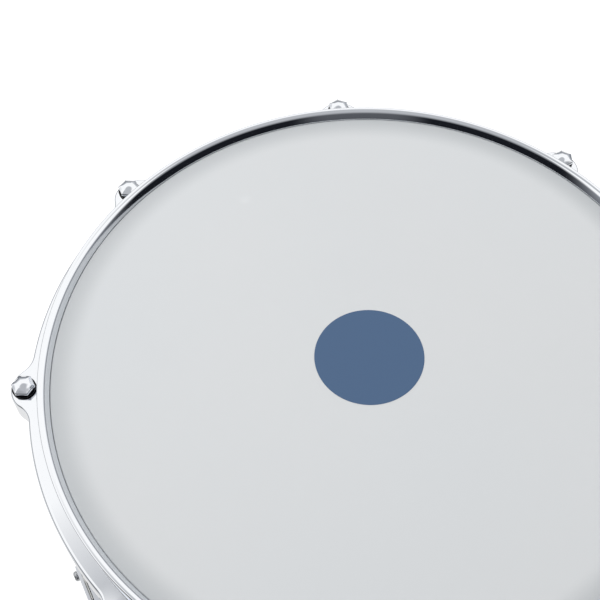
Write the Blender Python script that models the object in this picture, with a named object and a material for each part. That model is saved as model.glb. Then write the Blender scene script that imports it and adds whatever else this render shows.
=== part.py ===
"""Caixa, a Brazilian snare drum, in metres, standing on its snare-side hoop with +Z up.

The drum's axis is Z, and the origin lies on it at the height of the surface that the drum
stands on. The snares run along X: their strainer is at +X and their butt at -X. Eight
through rods clamp two triple-flanged hoops over the heads of a beaded shell.
"""

import math

import bmesh
import bpy
from mathutils import Matrix, Vector

# Fits
GAP = 0.0003
HOLE_CLEARANCE = 0.0003
SLIDE_CLEARANCE = 0.0003

# Shell: a spun cylinder with a bead at half depth and turned-in bearing edges
SHELL_DIAMETER = 0.3048
SHELL_DEPTH = 0.1524
SHELL_WALL = 0.0015
BEAD_RISE = 0.0024
BEAD_WIDTH = 0.013
EDGE_ROLL = 0.0020
EDGE_TURN_IN = 0.0055

# Heads: a film drawn over the bearing edge into the channel of a flesh hoop
FILM = 0.0003
COLLAR_ROUND = 0.0010
COLLAR_DROP = 0.0132
FLESH_WALL = 0.0013
FLESH_BASE = 0.0019
FLESH_OUTER_LEG = 0.0033
FLESH_FOOT_DROP = 0.0215
CHANNEL_REACH = 0.0035

# Hoops: sheet steel in three flanges, lip, ledge and skirt
HOOP_COLLAR_GAP = 0.0010
HOOP_SHEET = 0.0020
CREST_RISE = 0.0042
LIP_SPREAD = 0.0023
LIP_SPREAD_HEIGHT = 0.0042
LIP_BEND = 0.0018
LIP_REACH = 0.0054
LEDGE_DROP = 0.0074
SKIRT_REACH = 0.0121
SKIRT_ROUND = 0.0018
SKIRT_DROP = 0.0215
EAR_RADIUS = 0.0123
EAR_REACH = 0.0088
EAR_FILLET = 0.0120

# Tension rods, their washers and dome nuts
ROD_COUNT = 8
ROD_DIAMETER = 0.0060
ROD_OUTSIDE_SKIRT = 0.0019
NUT_ACROSS_FLATS = 0.0102
NUT_HEX_HEIGHT = 0.0020
NUT_HEIGHT = 0.0038
NUT_ROOF = 0.0010
NUT_DOME_INSET = 0.00015
ROD_HEAD_HEIGHT = 0.0045
WASHER_DIAMETER = 0.0118
WASHER_THICKNESS = 0.0010

# Snares: coiled strands between two plates, drawn up by a strap at each end
STRAND_COUNT = 16
STRAND_PITCH = 0.00225
STRAND_DIAMETER = 0.0015
SNARE_LENGTH = 0.2500
SNARE_PLATE_LENGTH = 0.0140
SNARE_PLATE_MARGIN = 0.0020
SNARE_PLATE = 0.0010
STRAP_WIDTH = 0.0160
STRAP = 0.0006
STRAP_ON_PLATE = 0.0080
GATE_WIDTH = 0.0300
GATE_SILL = 0.0005

# Strainer and butt, outside the shell between two rods
BRACKET_ABOVE_SKIRT = 0.0043
BRACKET_WALL = 0.0020
STRAINER_HEIGHT = 0.0380
SLIDE_WIDTH = 0.0274
SLIDE_DEPTH = 0.0052
BRIDGE_HEIGHT = 0.0060
CLAMP_BLOCK_HEIGHT = 0.0140
CLAMP_BLOCK_LIFT = 0.0020
CLAMP_PLATE_HEIGHT = 0.0120
CLAMP_PLATE = 0.0018
CLAMP_SCREW_SPACING = 0.0212
CLAMP_SCREW_DIAMETER = 0.0030
CLAMP_SCREW_BITE = 0.0045
SCREW_HEAD_DIAMETER = 0.0056
SCREW_HEAD_HEIGHT = 0.0022
POST_SPACING = 0.0460
POST_DIAMETER = 0.0074
POST_DEPTH = 0.0042
POST_HEIGHT_ON_BRACKET = 0.0190
FIXING_SCREW_DIAMETER = 0.0040
FIXING_SCREW_BITE = 0.0050
BUTT_HEIGHT = 0.0260
KNOB_DIAMETER = 0.0120
KNOB_HEIGHT = 0.0100
KNOB_LIFT = 0.0030
KNOB_GROOVES = 12
KNOB_GROOVE_DEPTH = 0.0006
KNOB_SCREW_DIAMETER = 0.0040
KNOB_SCREW_BITE = 0.0080
KNOB_TRAVEL = 0.0017
LEVER_PIVOT_LIFT = 0.0200
LEVER_STUD_DIAMETER = 0.0060
LEVER_STUD_LENGTH = 0.0032
LEVER_ARM = 0.0020
LEVER_HUB_RADIUS = 0.0048
LEVER_REACH = 0.0110
LEVER_LENGTH = 0.0450
LEVER_PLATE_HEIGHT = 0.0280

# Vent eyelet, in the wall between two rods
VENT_ANGLE = math.radians(90)
VENT_BORE = 0.0070
VENT_TUBE_WALL = 0.0012
VENT_FLANGE_DIAMETER = 0.0160
VENT_FLANGE = 0.0012
VENT_ABOVE_BEAD = 0.0320

# Facets round each turned piece
TURN_STEPS = 40
HOLE_STEPS = 12
WASHER_STEPS = 10
DOME_STEPS = 12
SCREW_STEPS = 10
STATIONS_BETWEEN_EARS = 2

# Radii and heights that follow from the driving dimensions
SHELL_RADIUS = SHELL_DIAMETER / 2
COLLAR_RADIUS = SHELL_RADIUS + GAP + FILM
HOOP_RADIUS = COLLAR_RADIUS + HOOP_COLLAR_GAP
SKIRT_RADIUS = HOOP_RADIUS + SKIRT_REACH
ROD_CIRCLE = SKIRT_RADIUS + ROD_OUTSIDE_SKIRT
SNARE_FACE = CREST_RISE
SHELL_FOOT = SNARE_FACE + FILM + GAP
SHELL_TOP = SHELL_FOOT + SHELL_DEPTH
BATTER_FACE = SHELL_TOP + GAP + FILM
MID_HEIGHT = (SHELL_FOOT + SHELL_TOP) / 2
TOP_LEDGE = BATTER_FACE - LEDGE_DROP
BOTTOM_LEDGE = SNARE_FACE + LEDGE_DROP
STRAP_INSIDE = SKIRT_RADIUS + GAP
BRACKET_BACK = SHELL_RADIUS + GAP
BRACKET_FRONT = BRACKET_BACK + BRACKET_WALL
BRACKET_FOOT = SNARE_FACE + SKIRT_DROP + BRACKET_ABOVE_SKIRT
BLOCK_FRONT = STRAP_INSIDE - GAP


def clear_scene():
    """Remove every object, so that the drum is built in an empty scene."""
    for obj in list(bpy.data.objects):
        bpy.data.objects.remove(obj, do_unlink=True)


def make_material(name, colour, roughness, metallic):
    """A Principled material of one colour, given as linear red, green and blue."""
    material = bpy.data.materials.new(name)
    material.use_nodes = True
    shader = material.node_tree.nodes["Principled BSDF"]
    shader.inputs["Base Color"].default_value = (*colour, 1.0)
    shader.inputs["Roughness"].default_value = roughness
    shader.inputs["Metallic"].default_value = metallic
    return material


def add_object(name, mesh, material):
    """Put a mesh into the scene as an object of its own, smooth across its shallow edges."""
    obj = bpy.data.objects.new(name, mesh)
    bpy.context.scene.collection.objects.link(obj)
    if material is not None:
        mesh.materials.clear()
        mesh.materials.append(material)
    mesh.shade_smooth()
    mesh.set_sharp_from_angle(angle=math.radians(30))
    return obj


def mesh_from(name, points, faces):
    """A mesh from points and faces, with its faces turned outwards."""
    mesh = bpy.data.meshes.new(name)
    mesh.from_pydata([tuple(point) for point in points], [], faces)
    shape = bmesh.new()
    shape.from_mesh(mesh)
    bmesh.ops.recalc_face_normals(shape, faces=shape.faces)
    shape.to_mesh(mesh)
    shape.free()
    return mesh


def bake(obj):
    """Replace an object's mesh by the result of its modifiers."""
    graph = bpy.context.evaluated_depsgraph_get()
    result = bpy.data.meshes.new_from_object(obj.evaluated_get(graph))
    obj.modifiers.clear()
    obj.data = result
    result.name = obj.name
    result.shade_smooth()
    result.set_sharp_from_angle(angle=math.radians(30))
    return obj


def combine(obj, operation, tools):
    """Cut the tools from an object or join them to it, one exact Boolean each."""
    for tool in tools:
        modifier = obj.modifiers.new(operation.lower(), "BOOLEAN")
        modifier.operation = operation
        modifier.solver = "EXACT"
        modifier.object = tool
    bpy.context.view_layer.update()
    bake(obj)
    for tool in tools:
        bpy.data.objects.remove(tool, do_unlink=True)
    return obj


def cut(obj, *tools):
    """The object less the tools."""
    return combine(obj, "DIFFERENCE", tools)


def join(obj, *tools):
    """The object and the tools as one body."""
    return combine(obj, "UNION", tools)


def turn(name, profile, material, steps=TURN_STEPS):
    """A closed or axis-to-axis profile of (radius, height), turned about Z by a Screw."""
    mesh = bpy.data.meshes.new(name)
    count = len(profile)
    on_axis = profile[0][0] == 0.0 and profile[-1][0] == 0.0
    edges = [(k, k + 1) for k in range(count - 1)]
    if not on_axis:
        edges.append((count - 1, 0))
    mesh.from_pydata([(radius, 0.0, height) for radius, height in profile], edges, [])
    obj = bpy.data.objects.new(name, mesh)
    bpy.context.scene.collection.objects.link(obj)
    screw = obj.modifiers.new("turn", "SCREW")
    screw.axis = "Z"
    screw.angle = math.tau
    screw.steps = steps
    screw.render_steps = steps
    screw.use_merge_vertices = True
    screw.merge_threshold = 1e-5
    bpy.context.view_layer.update()
    bake(obj)
    shape = bmesh.new()
    shape.from_mesh(obj.data)
    bmesh.ops.recalc_face_normals(shape, faces=shape.faces)
    shape.to_mesh(obj.data)
    shape.free()
    obj.data.materials.append(material)
    return obj


def extrude(name, outline, low, high, axis, material):
    """An outline of (first, second) points, carried from low to high along an axis.

    Along Y the outline lies in X and Z, along Z it lies in X and Y."""
    def place(point, along):
        if axis == "Y":
            return (point[0], along, point[1])
        return (point[0], point[1], along)

    count = len(outline)
    points = [place(point, low) for point in outline] + [place(point, high) for point in outline]
    sides = [(k, (k + 1) % count, count + (k + 1) % count, count + k) for k in range(count)]
    ends = [tuple(reversed(range(count))), tuple(range(count, 2 * count))]
    return add_object(name, mesh_from(name, points, sides + ends), material)


def box(name, low, high, material=None):
    """A box between two corners."""
    outline = [(low[0], low[1]), (high[0], low[1]), (high[0], high[1]), (low[0], high[1])]
    return extrude(name, outline, low[2], high[2], "Z", material)


def rod_between(name, start, end, radius, steps, material=None):
    """A cylinder between two points, or a prism where steps is small."""
    start, end = Vector(start), Vector(end)
    along = end - start
    shape = bmesh.new()
    bmesh.ops.create_cone(
        shape, cap_ends=True, segments=steps, radius1=radius, radius2=radius, depth=along.length
    )
    turned = along.to_track_quat("Z", "Y").to_matrix().to_4x4()
    shape.transform(Matrix.Translation((start + end) / 2) @ turned)
    mesh = bpy.data.meshes.new(name)
    shape.to_mesh(mesh)
    shape.free()
    return add_object(name, mesh, material)


def set_origin(obj, point):
    """Move an object's origin to a point and leave its shape where it is."""
    obj.data.transform(Matrix.Translation(-Vector(point)))
    obj.location = point
    return obj


def around(radius, angle, height):
    """The point at a radius and an angle from the drum's axis."""
    return Vector((radius * math.cos(angle), radius * math.sin(angle), height))


def rod_angles():
    """The angles of the rods, set so that the snares run midway between two of them."""
    step = math.tau / ROD_COUNT
    return [step * (k + 0.5) for k in range(ROD_COUNT)]


def make_shell(material):
    """The shell: wall, bead and edges are one profile with the wall's thickness."""
    outside = [
        (SHELL_RADIUS - EDGE_ROLL - EDGE_TURN_IN, SHELL_TOP - EDGE_TURN_IN),
        (SHELL_RADIUS - EDGE_ROLL, SHELL_TOP),
        (SHELL_RADIUS - 0.6 * EDGE_ROLL, SHELL_TOP - 0.1 * EDGE_ROLL),
        (SHELL_RADIUS, SHELL_TOP - EDGE_ROLL),
    ]
    bead = [(0.0, -0.5), (1.0, -0.17), (1.0, 0.17), (0.0, 0.5)]
    for rise, along in reversed(bead):
        outside.append((SHELL_RADIUS + rise * BEAD_RISE, MID_HEIGHT + along * BEAD_WIDTH))
    outside += [
        (SHELL_RADIUS, SHELL_FOOT + EDGE_ROLL),
        (SHELL_RADIUS - 0.6 * EDGE_ROLL, SHELL_FOOT + 0.1 * EDGE_ROLL),
        (SHELL_RADIUS - EDGE_ROLL, SHELL_FOOT),
        (SHELL_RADIUS - EDGE_ROLL - EDGE_TURN_IN, SHELL_FOOT + EDGE_TURN_IN),
    ]
    inner = SHELL_RADIUS - SHELL_WALL
    slant = SHELL_WALL * math.sqrt(2)
    inside = [
        (SHELL_RADIUS - EDGE_ROLL - EDGE_TURN_IN, SHELL_FOOT + EDGE_TURN_IN + slant),
        (inner, SHELL_FOOT + EDGE_ROLL + slant - SHELL_WALL),
    ]
    for rise, along in bead:
        inside.append((inner + rise * BEAD_RISE, MID_HEIGHT + along * BEAD_WIDTH))
    inside += [
        (inner, SHELL_TOP - EDGE_ROLL - slant + SHELL_WALL),
        (SHELL_RADIUS - EDGE_ROLL - EDGE_TURN_IN, SHELL_TOP - EDGE_TURN_IN - slant),
    ]
    shell = turn("shell", outside + inside, material)
    holes = [radial_hole(VENT_ANGLE, 0.0, vent_height(), VENT_BORE / 2 + VENT_TUBE_WALL + GAP)]
    for side in (1, -1):
        for across in (-1, 1):
            holes.append(
                along_x_hole(side, across * POST_SPACING / 2, FIXING_SCREW_DIAMETER / 2 + HOLE_CLEARANCE)
            )
    return cut(shell, *holes)


def vent_height():
    """The height of the vent eyelet."""
    return MID_HEIGHT + VENT_ABOVE_BEAD


def radial_hole(angle, inset, height, radius):
    """A cutter that goes out through the wall at an angle."""
    start = around(SHELL_RADIUS - 4 * SHELL_WALL - inset, angle, height)
    end = around(SHELL_RADIUS + 4 * SHELL_WALL, angle, height)
    return rod_between("hole", start, end, radius, HOLE_STEPS)


def along_x_hole(side, across, radius):
    """A cutter along X through the wall, at the height of the brackets' fixing screws."""
    height = BRACKET_FOOT + POST_HEIGHT_ON_BRACKET
    start = (side * (SHELL_RADIUS - 6 * SHELL_WALL), across, height)
    end = (side * (SHELL_RADIUS + 4 * SHELL_WALL), across, height)
    return rod_between("hole", start, end, radius, HOLE_STEPS)


def make_head(kind, face, out, film_material, hoop_material):
    """A film and its flesh hoop. face is the height of the film's outer face, and out is 1
    where that face looks up and -1 where it looks down."""
    rim = COLLAR_RADIUS
    end = rim + CHANNEL_REACH
    slot_end = FLESH_FOOT_DROP - FLESH_BASE - GAP
    outer = [
        (0.0, 0.0),
        (rim - COLLAR_ROUND, 0.0),
        (rim - 0.3 * COLLAR_ROUND, -0.3 * COLLAR_ROUND),
        (rim, -COLLAR_ROUND),
        (rim, -COLLAR_DROP),
        (end, -COLLAR_DROP - 0.6 * CHANNEL_REACH),
        (end, -slot_end),
    ]
    inner = [
        (end - FILM, -slot_end),
        (end - FILM, -COLLAR_DROP - 0.6 * CHANNEL_REACH - 0.7 * FILM),
        (rim - FILM, -COLLAR_DROP - 0.7 * FILM),
        (rim - FILM, -COLLAR_ROUND),
        (rim - 0.3 * COLLAR_ROUND - 0.7 * FILM, -0.3 * COLLAR_ROUND - 0.7 * FILM),
        (rim - COLLAR_ROUND, -FILM),
        (0.0, -FILM),
    ]
    film = turn(
        kind + "_film", [(radius, face + out * level) for radius, level in outer + inner], film_material
    )
    slot_in = end - FILM - GAP
    slot_out = end + GAP
    seat = -(LEDGE_DROP + HOOP_SHEET + GAP)
    inner_top = -COLLAR_DROP - 0.6 * CHANNEL_REACH - FLESH_WALL
    ring = [
        (slot_out, seat),
        (slot_out + FLESH_OUTER_LEG, seat),
        (slot_out + FLESH_OUTER_LEG, -FLESH_FOOT_DROP),
        (slot_in - FLESH_WALL, -FLESH_FOOT_DROP),
        (slot_in - FLESH_WALL, inner_top),
        (slot_in, inner_top),
        (slot_in, -FLESH_FOOT_DROP + FLESH_BASE),
        (slot_out, -FLESH_FOOT_DROP + FLESH_BASE),
    ]
    turn(
        kind + "_flesh_hoop", [(radius, face + out * level) for radius, level in ring], hoop_material
    )
    return film


def ear_outline():
    """Half of an ear's plan as (angle, how far it stands out of the skirt).

    The boss is an arc about a centre on the ear's middle line. A concave arc, tangent to the
    boss and to the skirt, leads into it."""
    centre = SKIRT_RADIUS + EAR_REACH - EAR_RADIUS
    fillet_centre = SKIRT_RADIUS + EAR_FILLET
    between = EAR_RADIUS + EAR_FILLET
    cosine = (fillet_centre**2 + centre**2 - between**2) / (2 * fillet_centre * centre)
    foot_angle = math.acos(cosine)
    hub = Vector((fillet_centre * math.cos(foot_angle), fillet_centre * math.sin(foot_angle)))
    boss = Vector((centre, 0.0))
    reach = math.atan2((hub - boss).y, (hub - boss).x)
    points = []
    for share in (0.0, 0.55, 1.0):
        points.append(boss + EAR_RADIUS * Vector((math.cos(share * reach), math.sin(share * reach))))
    halfway = (hub.normalized() * -1 - (hub - boss).normalized()).normalized()
    points.append(hub + EAR_FILLET * halfway)
    points.append(hub - EAR_FILLET * hub.normalized())
    return [(math.atan2(point.y, point.x), point.length - SKIRT_RADIUS) for point in points]


def hoop_stations():
    """Angles round the hoop, each with how far the skirt stands out there and whether the
    wall and lip have a row of points there too, or only the ear."""
    half = ear_outline()
    half = [(angle, rise, k in (0, len(half) - 1)) for k, (angle, rise) in enumerate(half)]
    stations = []
    for middle in rod_angles():
        for angle, rise, whole in reversed(half[1:]):
            stations.append((middle - angle, rise, whole))
        for angle, rise, whole in half:
            stations.append((middle + angle, rise, whole))
        foot = half[-1][0]
        spare = math.tau / ROD_COUNT - 2 * foot
        for k in range(STATIONS_BETWEEN_EARS):
            angle = middle + foot + spare * (k + 1) / (STATIONS_BETWEEN_EARS + 1)
            stations.append((angle, 0.0, True))
    return stations


def hoop_profile():
    """The hoop's section as (radius, height over the head, share of the ear's rise)."""
    bend = 0.71 * SKIRT_ROUND
    lip = HOOP_RADIUS + LIP_REACH
    spread = HOOP_RADIUS + LIP_SPREAD
    spread_foot = CREST_RISE - LIP_SPREAD_HEIGHT
    slope = math.hypot(LIP_SPREAD, LIP_SPREAD_HEIGHT)
    lean, rise = LIP_SPREAD / slope, LIP_SPREAD_HEIGHT / slope
    return [
        (HOOP_RADIUS, spread_foot, 0.0),
        (spread - LIP_BEND * lean, CREST_RISE - LIP_BEND * rise, 0.0),
        (spread + LIP_BEND, CREST_RISE, 0.0),
        (lip - 0.25 * HOOP_SHEET, CREST_RISE, 0.0),
        (lip, CREST_RISE - 0.7 * HOOP_SHEET, 0.0),
        (spread + LIP_BEND, CREST_RISE - HOOP_SHEET, 0.0),
        (HOOP_RADIUS + HOOP_SHEET, spread_foot, 0.0),
        (HOOP_RADIUS + HOOP_SHEET, -LEDGE_DROP, 0.0),
        (SKIRT_RADIUS - SKIRT_ROUND, -LEDGE_DROP, 1.0),
        (SKIRT_RADIUS - SKIRT_ROUND + bend, -LEDGE_DROP - SKIRT_ROUND + bend, 1.0),
        (SKIRT_RADIUS, -LEDGE_DROP - SKIRT_ROUND, 1.0),
        (SKIRT_RADIUS, -SKIRT_DROP, 1.0),
        (SKIRT_RADIUS - HOOP_SHEET, -SKIRT_DROP, 1.0),
        (SKIRT_RADIUS - HOOP_SHEET, -LEDGE_DROP - HOOP_SHEET, 1.0),
        (HOOP_RADIUS, -LEDGE_DROP - 0.7 * HOOP_SHEET, 0.0),
    ]


def make_hoop(name, face, out, material):
    """A hoop: its section carried round the drum, pressed outwards at each ear and drilled."""
    stations = hoop_stations()
    profile = hoop_profile()
    points = []
    for angle, rise, _ in stations:
        for radius, height, share in profile:
            points.append(around(radius + share * rise, angle, face + out * height))
    rows, columns = len(stations), len(profile)
    faces = []
    for row in range(rows):
        for column in range(columns):
            below = (row + 1) % rows
            beside = (column + 1) % columns
            faces.append(
                (
                    row * columns + column,
                    row * columns + beside,
                    below * columns + beside,
                    below * columns + column,
                )
            )
    mesh = mesh_from(name, points, faces)
    thin_out(mesh, stations, profile)
    hoop = add_object(name, mesh, material)
    ledge = face - out * LEDGE_DROP
    holes = []
    for angle in rod_angles():
        start = around(ROD_CIRCLE, angle, ledge - 2 * HOOP_SHEET)
        end = around(ROD_CIRCLE, angle, ledge + 2 * HOOP_SHEET)
        holes.append(
            rod_between("hole", start, end, ROD_DIAMETER / 2 + HOLE_CLEARANCE, HOLE_STEPS)
        )
    return cut(hoop, *holes)


def thin_out(mesh, stations, profile):
    """Take the wall's and lip's points out of the stations that only the ear needs."""
    columns = len(profile)
    shape = bmesh.new()
    shape.from_mesh(mesh)
    spare = []
    for edge in shape.edges:
        rows = {vertex.index // columns for vertex in edge.verts}
        shares = [profile[vertex.index % columns][2] for vertex in edge.verts]
        if len(rows) == 1 and min(shares) == 0.0 and not stations[rows.pop()][2]:
            spare.append(edge)
    bmesh.ops.dissolve_edges(shape, edges=spare, use_verts=True)
    shape.to_mesh(mesh)
    shape.free()


def cut_gates(hoop):
    """Cut the two snare gates: the wall and lip go, and the ledge stays."""
    inside = HOOP_RADIUS - 2 * HOOP_SHEET
    outside = HOOP_RADIUS + LIP_REACH + HOOP_SHEET
    sill = BOTTOM_LEDGE - GATE_SILL
    gates = []
    for side in (1, -1):
        near, far = sorted((side * inside, side * outside))
        gates.append(box("gate", (near, -GATE_WIDTH / 2, -CREST_RISE), (far, GATE_WIDTH / 2, sill)))
    return cut(hoop, *gates)


def place_copies(name, master, spots):
    """Copies of a piece that share its mesh, each turned and set at its own spot."""
    for number, (point, angle) in enumerate(spots, start=1):
        copy = bpy.data.objects.new(f"{name}_{number}", master.data)
        bpy.context.scene.collection.objects.link(copy)
        copy.location = point
        copy.rotation_euler = (0.0, 0.0, angle)
    bpy.data.objects.remove(master, do_unlink=True)


def make_rods(material):
    """Tension rods: a hexagon head under the bottom hoop and a shank up into the nut."""
    head_top = BOTTOM_LEDGE - GAP - WASHER_THICKNESS - GAP
    bore_end = nut_seat() + NUT_HEIGHT - NUT_ROOF
    corner = NUT_ACROSS_FLATS / math.sqrt(3)
    rod = rod_between(
        "rod", (0, 0, head_top - ROD_HEAD_HEIGHT / 2), (0, 0, bore_end - 2 * GAP),
        ROD_DIAMETER / 2, SCREW_STEPS, material,
    )
    head = rod_between("head", (0, 0, head_top - ROD_HEAD_HEIGHT), (0, 0, head_top), corner, 6)
    join(rod, head)
    place_copies("tension_rod", rod, [(around(ROD_CIRCLE, a, 0.0), a) for a in rod_angles()])


def nut_seat():
    """The height of a dome nut's foot, on its washer."""
    return TOP_LEDGE + GAP + WASHER_THICKNESS + GAP


def make_nuts(material):
    """Dome nuts: a hexagon under a dome, with a blind bore."""
    corner = NUT_ACROSS_FLATS / math.sqrt(3)
    dome_rise = NUT_HEIGHT - NUT_HEX_HEIGHT
    dome_radius = NUT_ACROSS_FLATS / 2 - NUT_DOME_INSET
    profile = [(0.0, NUT_HEIGHT)]
    for degrees in (62, 32):
        angle = math.radians(degrees)
        profile.append(
            (dome_radius * math.cos(angle), NUT_HEX_HEIGHT + dome_rise * math.sin(angle))
        )
    profile += [(dome_radius, NUT_HEX_HEIGHT), (dome_radius, NUT_HEX_HEIGHT / 2), (0.0, NUT_HEX_HEIGHT / 2)]
    nut = rod_between("nut", (0, 0, 0), (0, 0, NUT_HEX_HEIGHT), corner, 6, material)
    join(nut, turn("dome", profile, material, DOME_STEPS))
    bore_radius = ROD_DIAMETER / 2 + HOLE_CLEARANCE
    bore = rod_between(
        "bore", (0, 0, -NUT_ROOF), (0, 0, NUT_HEIGHT - NUT_ROOF), bore_radius, SCREW_STEPS
    )
    cut(nut, bore)
    spots = [(around(ROD_CIRCLE, a, nut_seat()), a) for a in rod_angles()]
    place_copies("tension_nut", nut, spots)


def make_washers(name, foot, material):
    """Flat washers, one round each rod."""
    inner = ROD_DIAMETER / 2 + 2 * HOLE_CLEARANCE
    profile = [
        (WASHER_DIAMETER / 2, WASHER_THICKNESS),
        (WASHER_DIAMETER / 2, 0.0),
        (inner, 0.0),
        (inner, WASHER_THICKNESS),
    ]
    washer = turn("washer", profile, material, WASHER_STEPS)
    place_copies(name, washer, [(around(ROD_CIRCLE, a, foot), a) for a in rod_angles()])


def make_snares(material):
    """Snare wires: the strands as one piece with the plate at each end."""
    top = SNARE_FACE - GAP
    strand_z = top - STRAND_DIAMETER / 2
    plate_top = top - STRAP - GAP
    half = SNARE_LENGTH / 2
    width = (STRAND_COUNT - 1) * STRAND_PITCH / 2 + SNARE_PLATE_MARGIN
    inner = half - SNARE_PLATE_LENGTH
    bodies = []
    for side in (1, -1):
        near, far = sorted((side * inner, side * half))
        bodies.append(
            box("plate", (near, -width, plate_top - SNARE_PLATE), (far, width, plate_top), material)
        )
    overlap = SNARE_PLATE_LENGTH - STRAP_ON_PLATE - 2 * GAP
    for k in range(STRAND_COUNT):
        across = (k - (STRAND_COUNT - 1) / 2) * STRAND_PITCH
        bodies.append(
            rod_between(
                "strand", (-inner - overlap, across, strand_z), (inner + overlap, across, strand_z),
                STRAND_DIAMETER / 2, 6, material,
            )
        )
    wires = join(bodies[0], *bodies[1:])
    wires.name = "snare_wires"


def strap_path():
    """The middle line of a strap, from the snare plate through the gate and up to its clamp."""
    level = SNARE_FACE - GAP - STRAP / 2
    start = SNARE_LENGTH / 2 - STRAP_ON_PLATE
    bend = Vector((SKIRT_RADIUS - SKIRT_ROUND, BOTTOM_LEDGE + SKIRT_ROUND))
    radius = SKIRT_ROUND + GAP + STRAP / 2
    leave = Vector((SHELL_RADIUS, level))
    away = leave - bend
    lean = math.acos(radius / away.length)
    first = math.atan2(away.y, away.x) + lean
    path = [Vector((start, level)), leave]
    steps = 4
    for k in range(steps + 1):
        angle = first + (0.0 - first) * k / steps
        path.append(bend + radius * Vector((math.cos(angle), math.sin(angle))))
    path.append(Vector((bend.x + radius, clamp_block_top())))
    return path


def ribbon_outline(path, thickness):
    """The outline of a ribbon seen from its side: the path set off to both sides."""
    left, right = [], []
    for k, point in enumerate(path):
        before = (point - path[k - 1]).normalized() if k > 0 else None
        after = (path[k + 1] - point).normalized() if k + 1 < len(path) else None
        along = (before or after) + (after or before)
        along.normalize()
        normal = Vector((-along.y, along.x))
        stretch = 1.0 / max(0.5, normal.dot(Vector((-(after or before).y, (after or before).x))))
        left.append(point + normal * thickness / 2 * stretch)
        right.append(point - normal * thickness / 2 * stretch)
    return left + right[::-1]


def make_strap(name, side, material):
    """A strap, as one ribbon."""
    outline = [(side * point.x, point.y) for point in ribbon_outline(strap_path(), STRAP)]
    return extrude(name, outline, -STRAP_WIDTH / 2, STRAP_WIDTH / 2, "Y", material)


def clamp_block_foot():
    """The height of the foot of the block that a strap is clamped to."""
    return BRACKET_FOOT + CLAMP_BLOCK_LIFT


def clamp_block_top():
    """The height of the top of the block that a strap is clamped to."""
    return clamp_block_foot() + CLAMP_BLOCK_HEIGHT


def clamp_screw_height():
    """The height of the clamp screws."""
    return clamp_block_foot() + CLAMP_BLOCK_HEIGHT / 2


def shell_cutter():
    """A turned cutter a gap larger than the shell, with the same facets."""
    profile = [
        (0.0, BATTER_FACE),
        (BRACKET_BACK, BATTER_FACE),
        (BRACKET_BACK, 0.0),
        (0.0, 0.0),
    ]
    return turn("shell_space", profile, None)


def bracket_posts(side, foot_material):
    """The two round bosses of a bracket, one on each side, that take the fixing screws."""
    height = BRACKET_FOOT + POST_HEIGHT_ON_BRACKET
    posts = []
    for across in (-1, 1):
        start = (side * (BRACKET_BACK - BRACKET_WALL), across * POST_SPACING / 2, height)
        end = (side * (BRACKET_FRONT + POST_DEPTH), across * POST_SPACING / 2, height)
        posts.append(rod_between("post", start, end, POST_DIAMETER / 2, HOLE_STEPS, foot_material))
    return posts


def fixing_bores(side):
    """Cutters for the blind bores of the fixing screws, a gap longer than the screws."""
    height = BRACKET_FOOT + POST_HEIGHT_ON_BRACKET
    bores = []
    for across in (-1, 1):
        start = (side * (SHELL_RADIUS - 6 * SHELL_WALL), across * POST_SPACING / 2, height)
        end = (side * (fixing_screw_end() + GAP), across * POST_SPACING / 2, height)
        bores.append(
            rod_between("bore", start, end, FIXING_SCREW_DIAMETER / 2 + HOLE_CLEARANCE, HOLE_STEPS)
        )
    return bores


def fixing_screw_end():
    """How far out along X the fixing screws reach."""
    return BRACKET_BACK + FIXING_SCREW_BITE


def post_wall_radius():
    """The shell's inner face along X at the fixing screws, which sit off the middle line."""
    across = POST_SPACING / 2 + SCREW_HEAD_DIAMETER / 2
    return math.sqrt((SHELL_RADIUS - SHELL_WALL) ** 2 - across**2)


def make_fixing_screws(name, side, material):
    """Screws from inside the shell into a bracket's bosses."""
    height = BRACKET_FOOT + POST_HEIGHT_ON_BRACKET
    facet_sag = (SHELL_RADIUS - SHELL_WALL) * (1 - math.cos(math.pi / TURN_STEPS))
    seat = post_wall_radius() - facet_sag - GAP
    for number, across in enumerate((-1, 1), start=1):
        y = across * POST_SPACING / 2
        screw = rod_between(
            f"{name}_{number}", (side * (seat - SCREW_HEAD_HEIGHT / 2), y, height),
            (side * fixing_screw_end(), y, height), FIXING_SCREW_DIAMETER / 2, SCREW_STEPS, material,
        )
        head = rod_between(
            "head", (side * (seat - SCREW_HEAD_HEIGHT), y, height), (side * seat, y, height),
            SCREW_HEAD_DIAMETER / 2 + HOLE_CLEARANCE, SCREW_STEPS,
        )
        join(screw, head)


def make_clamp(name, side, material, screw_material):
    """The clamp plate over a strap, and its two screws."""
    near = STRAP_INSIDE + STRAP + GAP
    foot = clamp_screw_height() - CLAMP_PLATE_HEIGHT / 2
    half = SLIDE_WIDTH / 2
    ends = sorted((side * near, side * (near + CLAMP_PLATE)))
    plate = box(name, (ends[0], -half, foot), (ends[1], half, foot + CLAMP_PLATE_HEIGHT), material)
    cut(plate, *clamp_holes(side))
    for number, across in enumerate((-1, 1), start=1):
        y = across * CLAMP_SCREW_SPACING / 2
        seat = near + CLAMP_PLATE + GAP
        screw = rod_between(
            f"{name}_screw_{number}", (side * (BLOCK_FRONT - CLAMP_SCREW_BITE), y, clamp_screw_height()),
            (side * (seat + SCREW_HEAD_HEIGHT / 2), y, clamp_screw_height()),
            CLAMP_SCREW_DIAMETER / 2, SCREW_STEPS, screw_material,
        )
        head = rod_between(
            "head", (side * seat, y, clamp_screw_height()),
            (side * (seat + SCREW_HEAD_HEIGHT), y, clamp_screw_height()),
            SCREW_HEAD_DIAMETER / 2, SCREW_STEPS,
        )
        join(screw, head)


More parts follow.
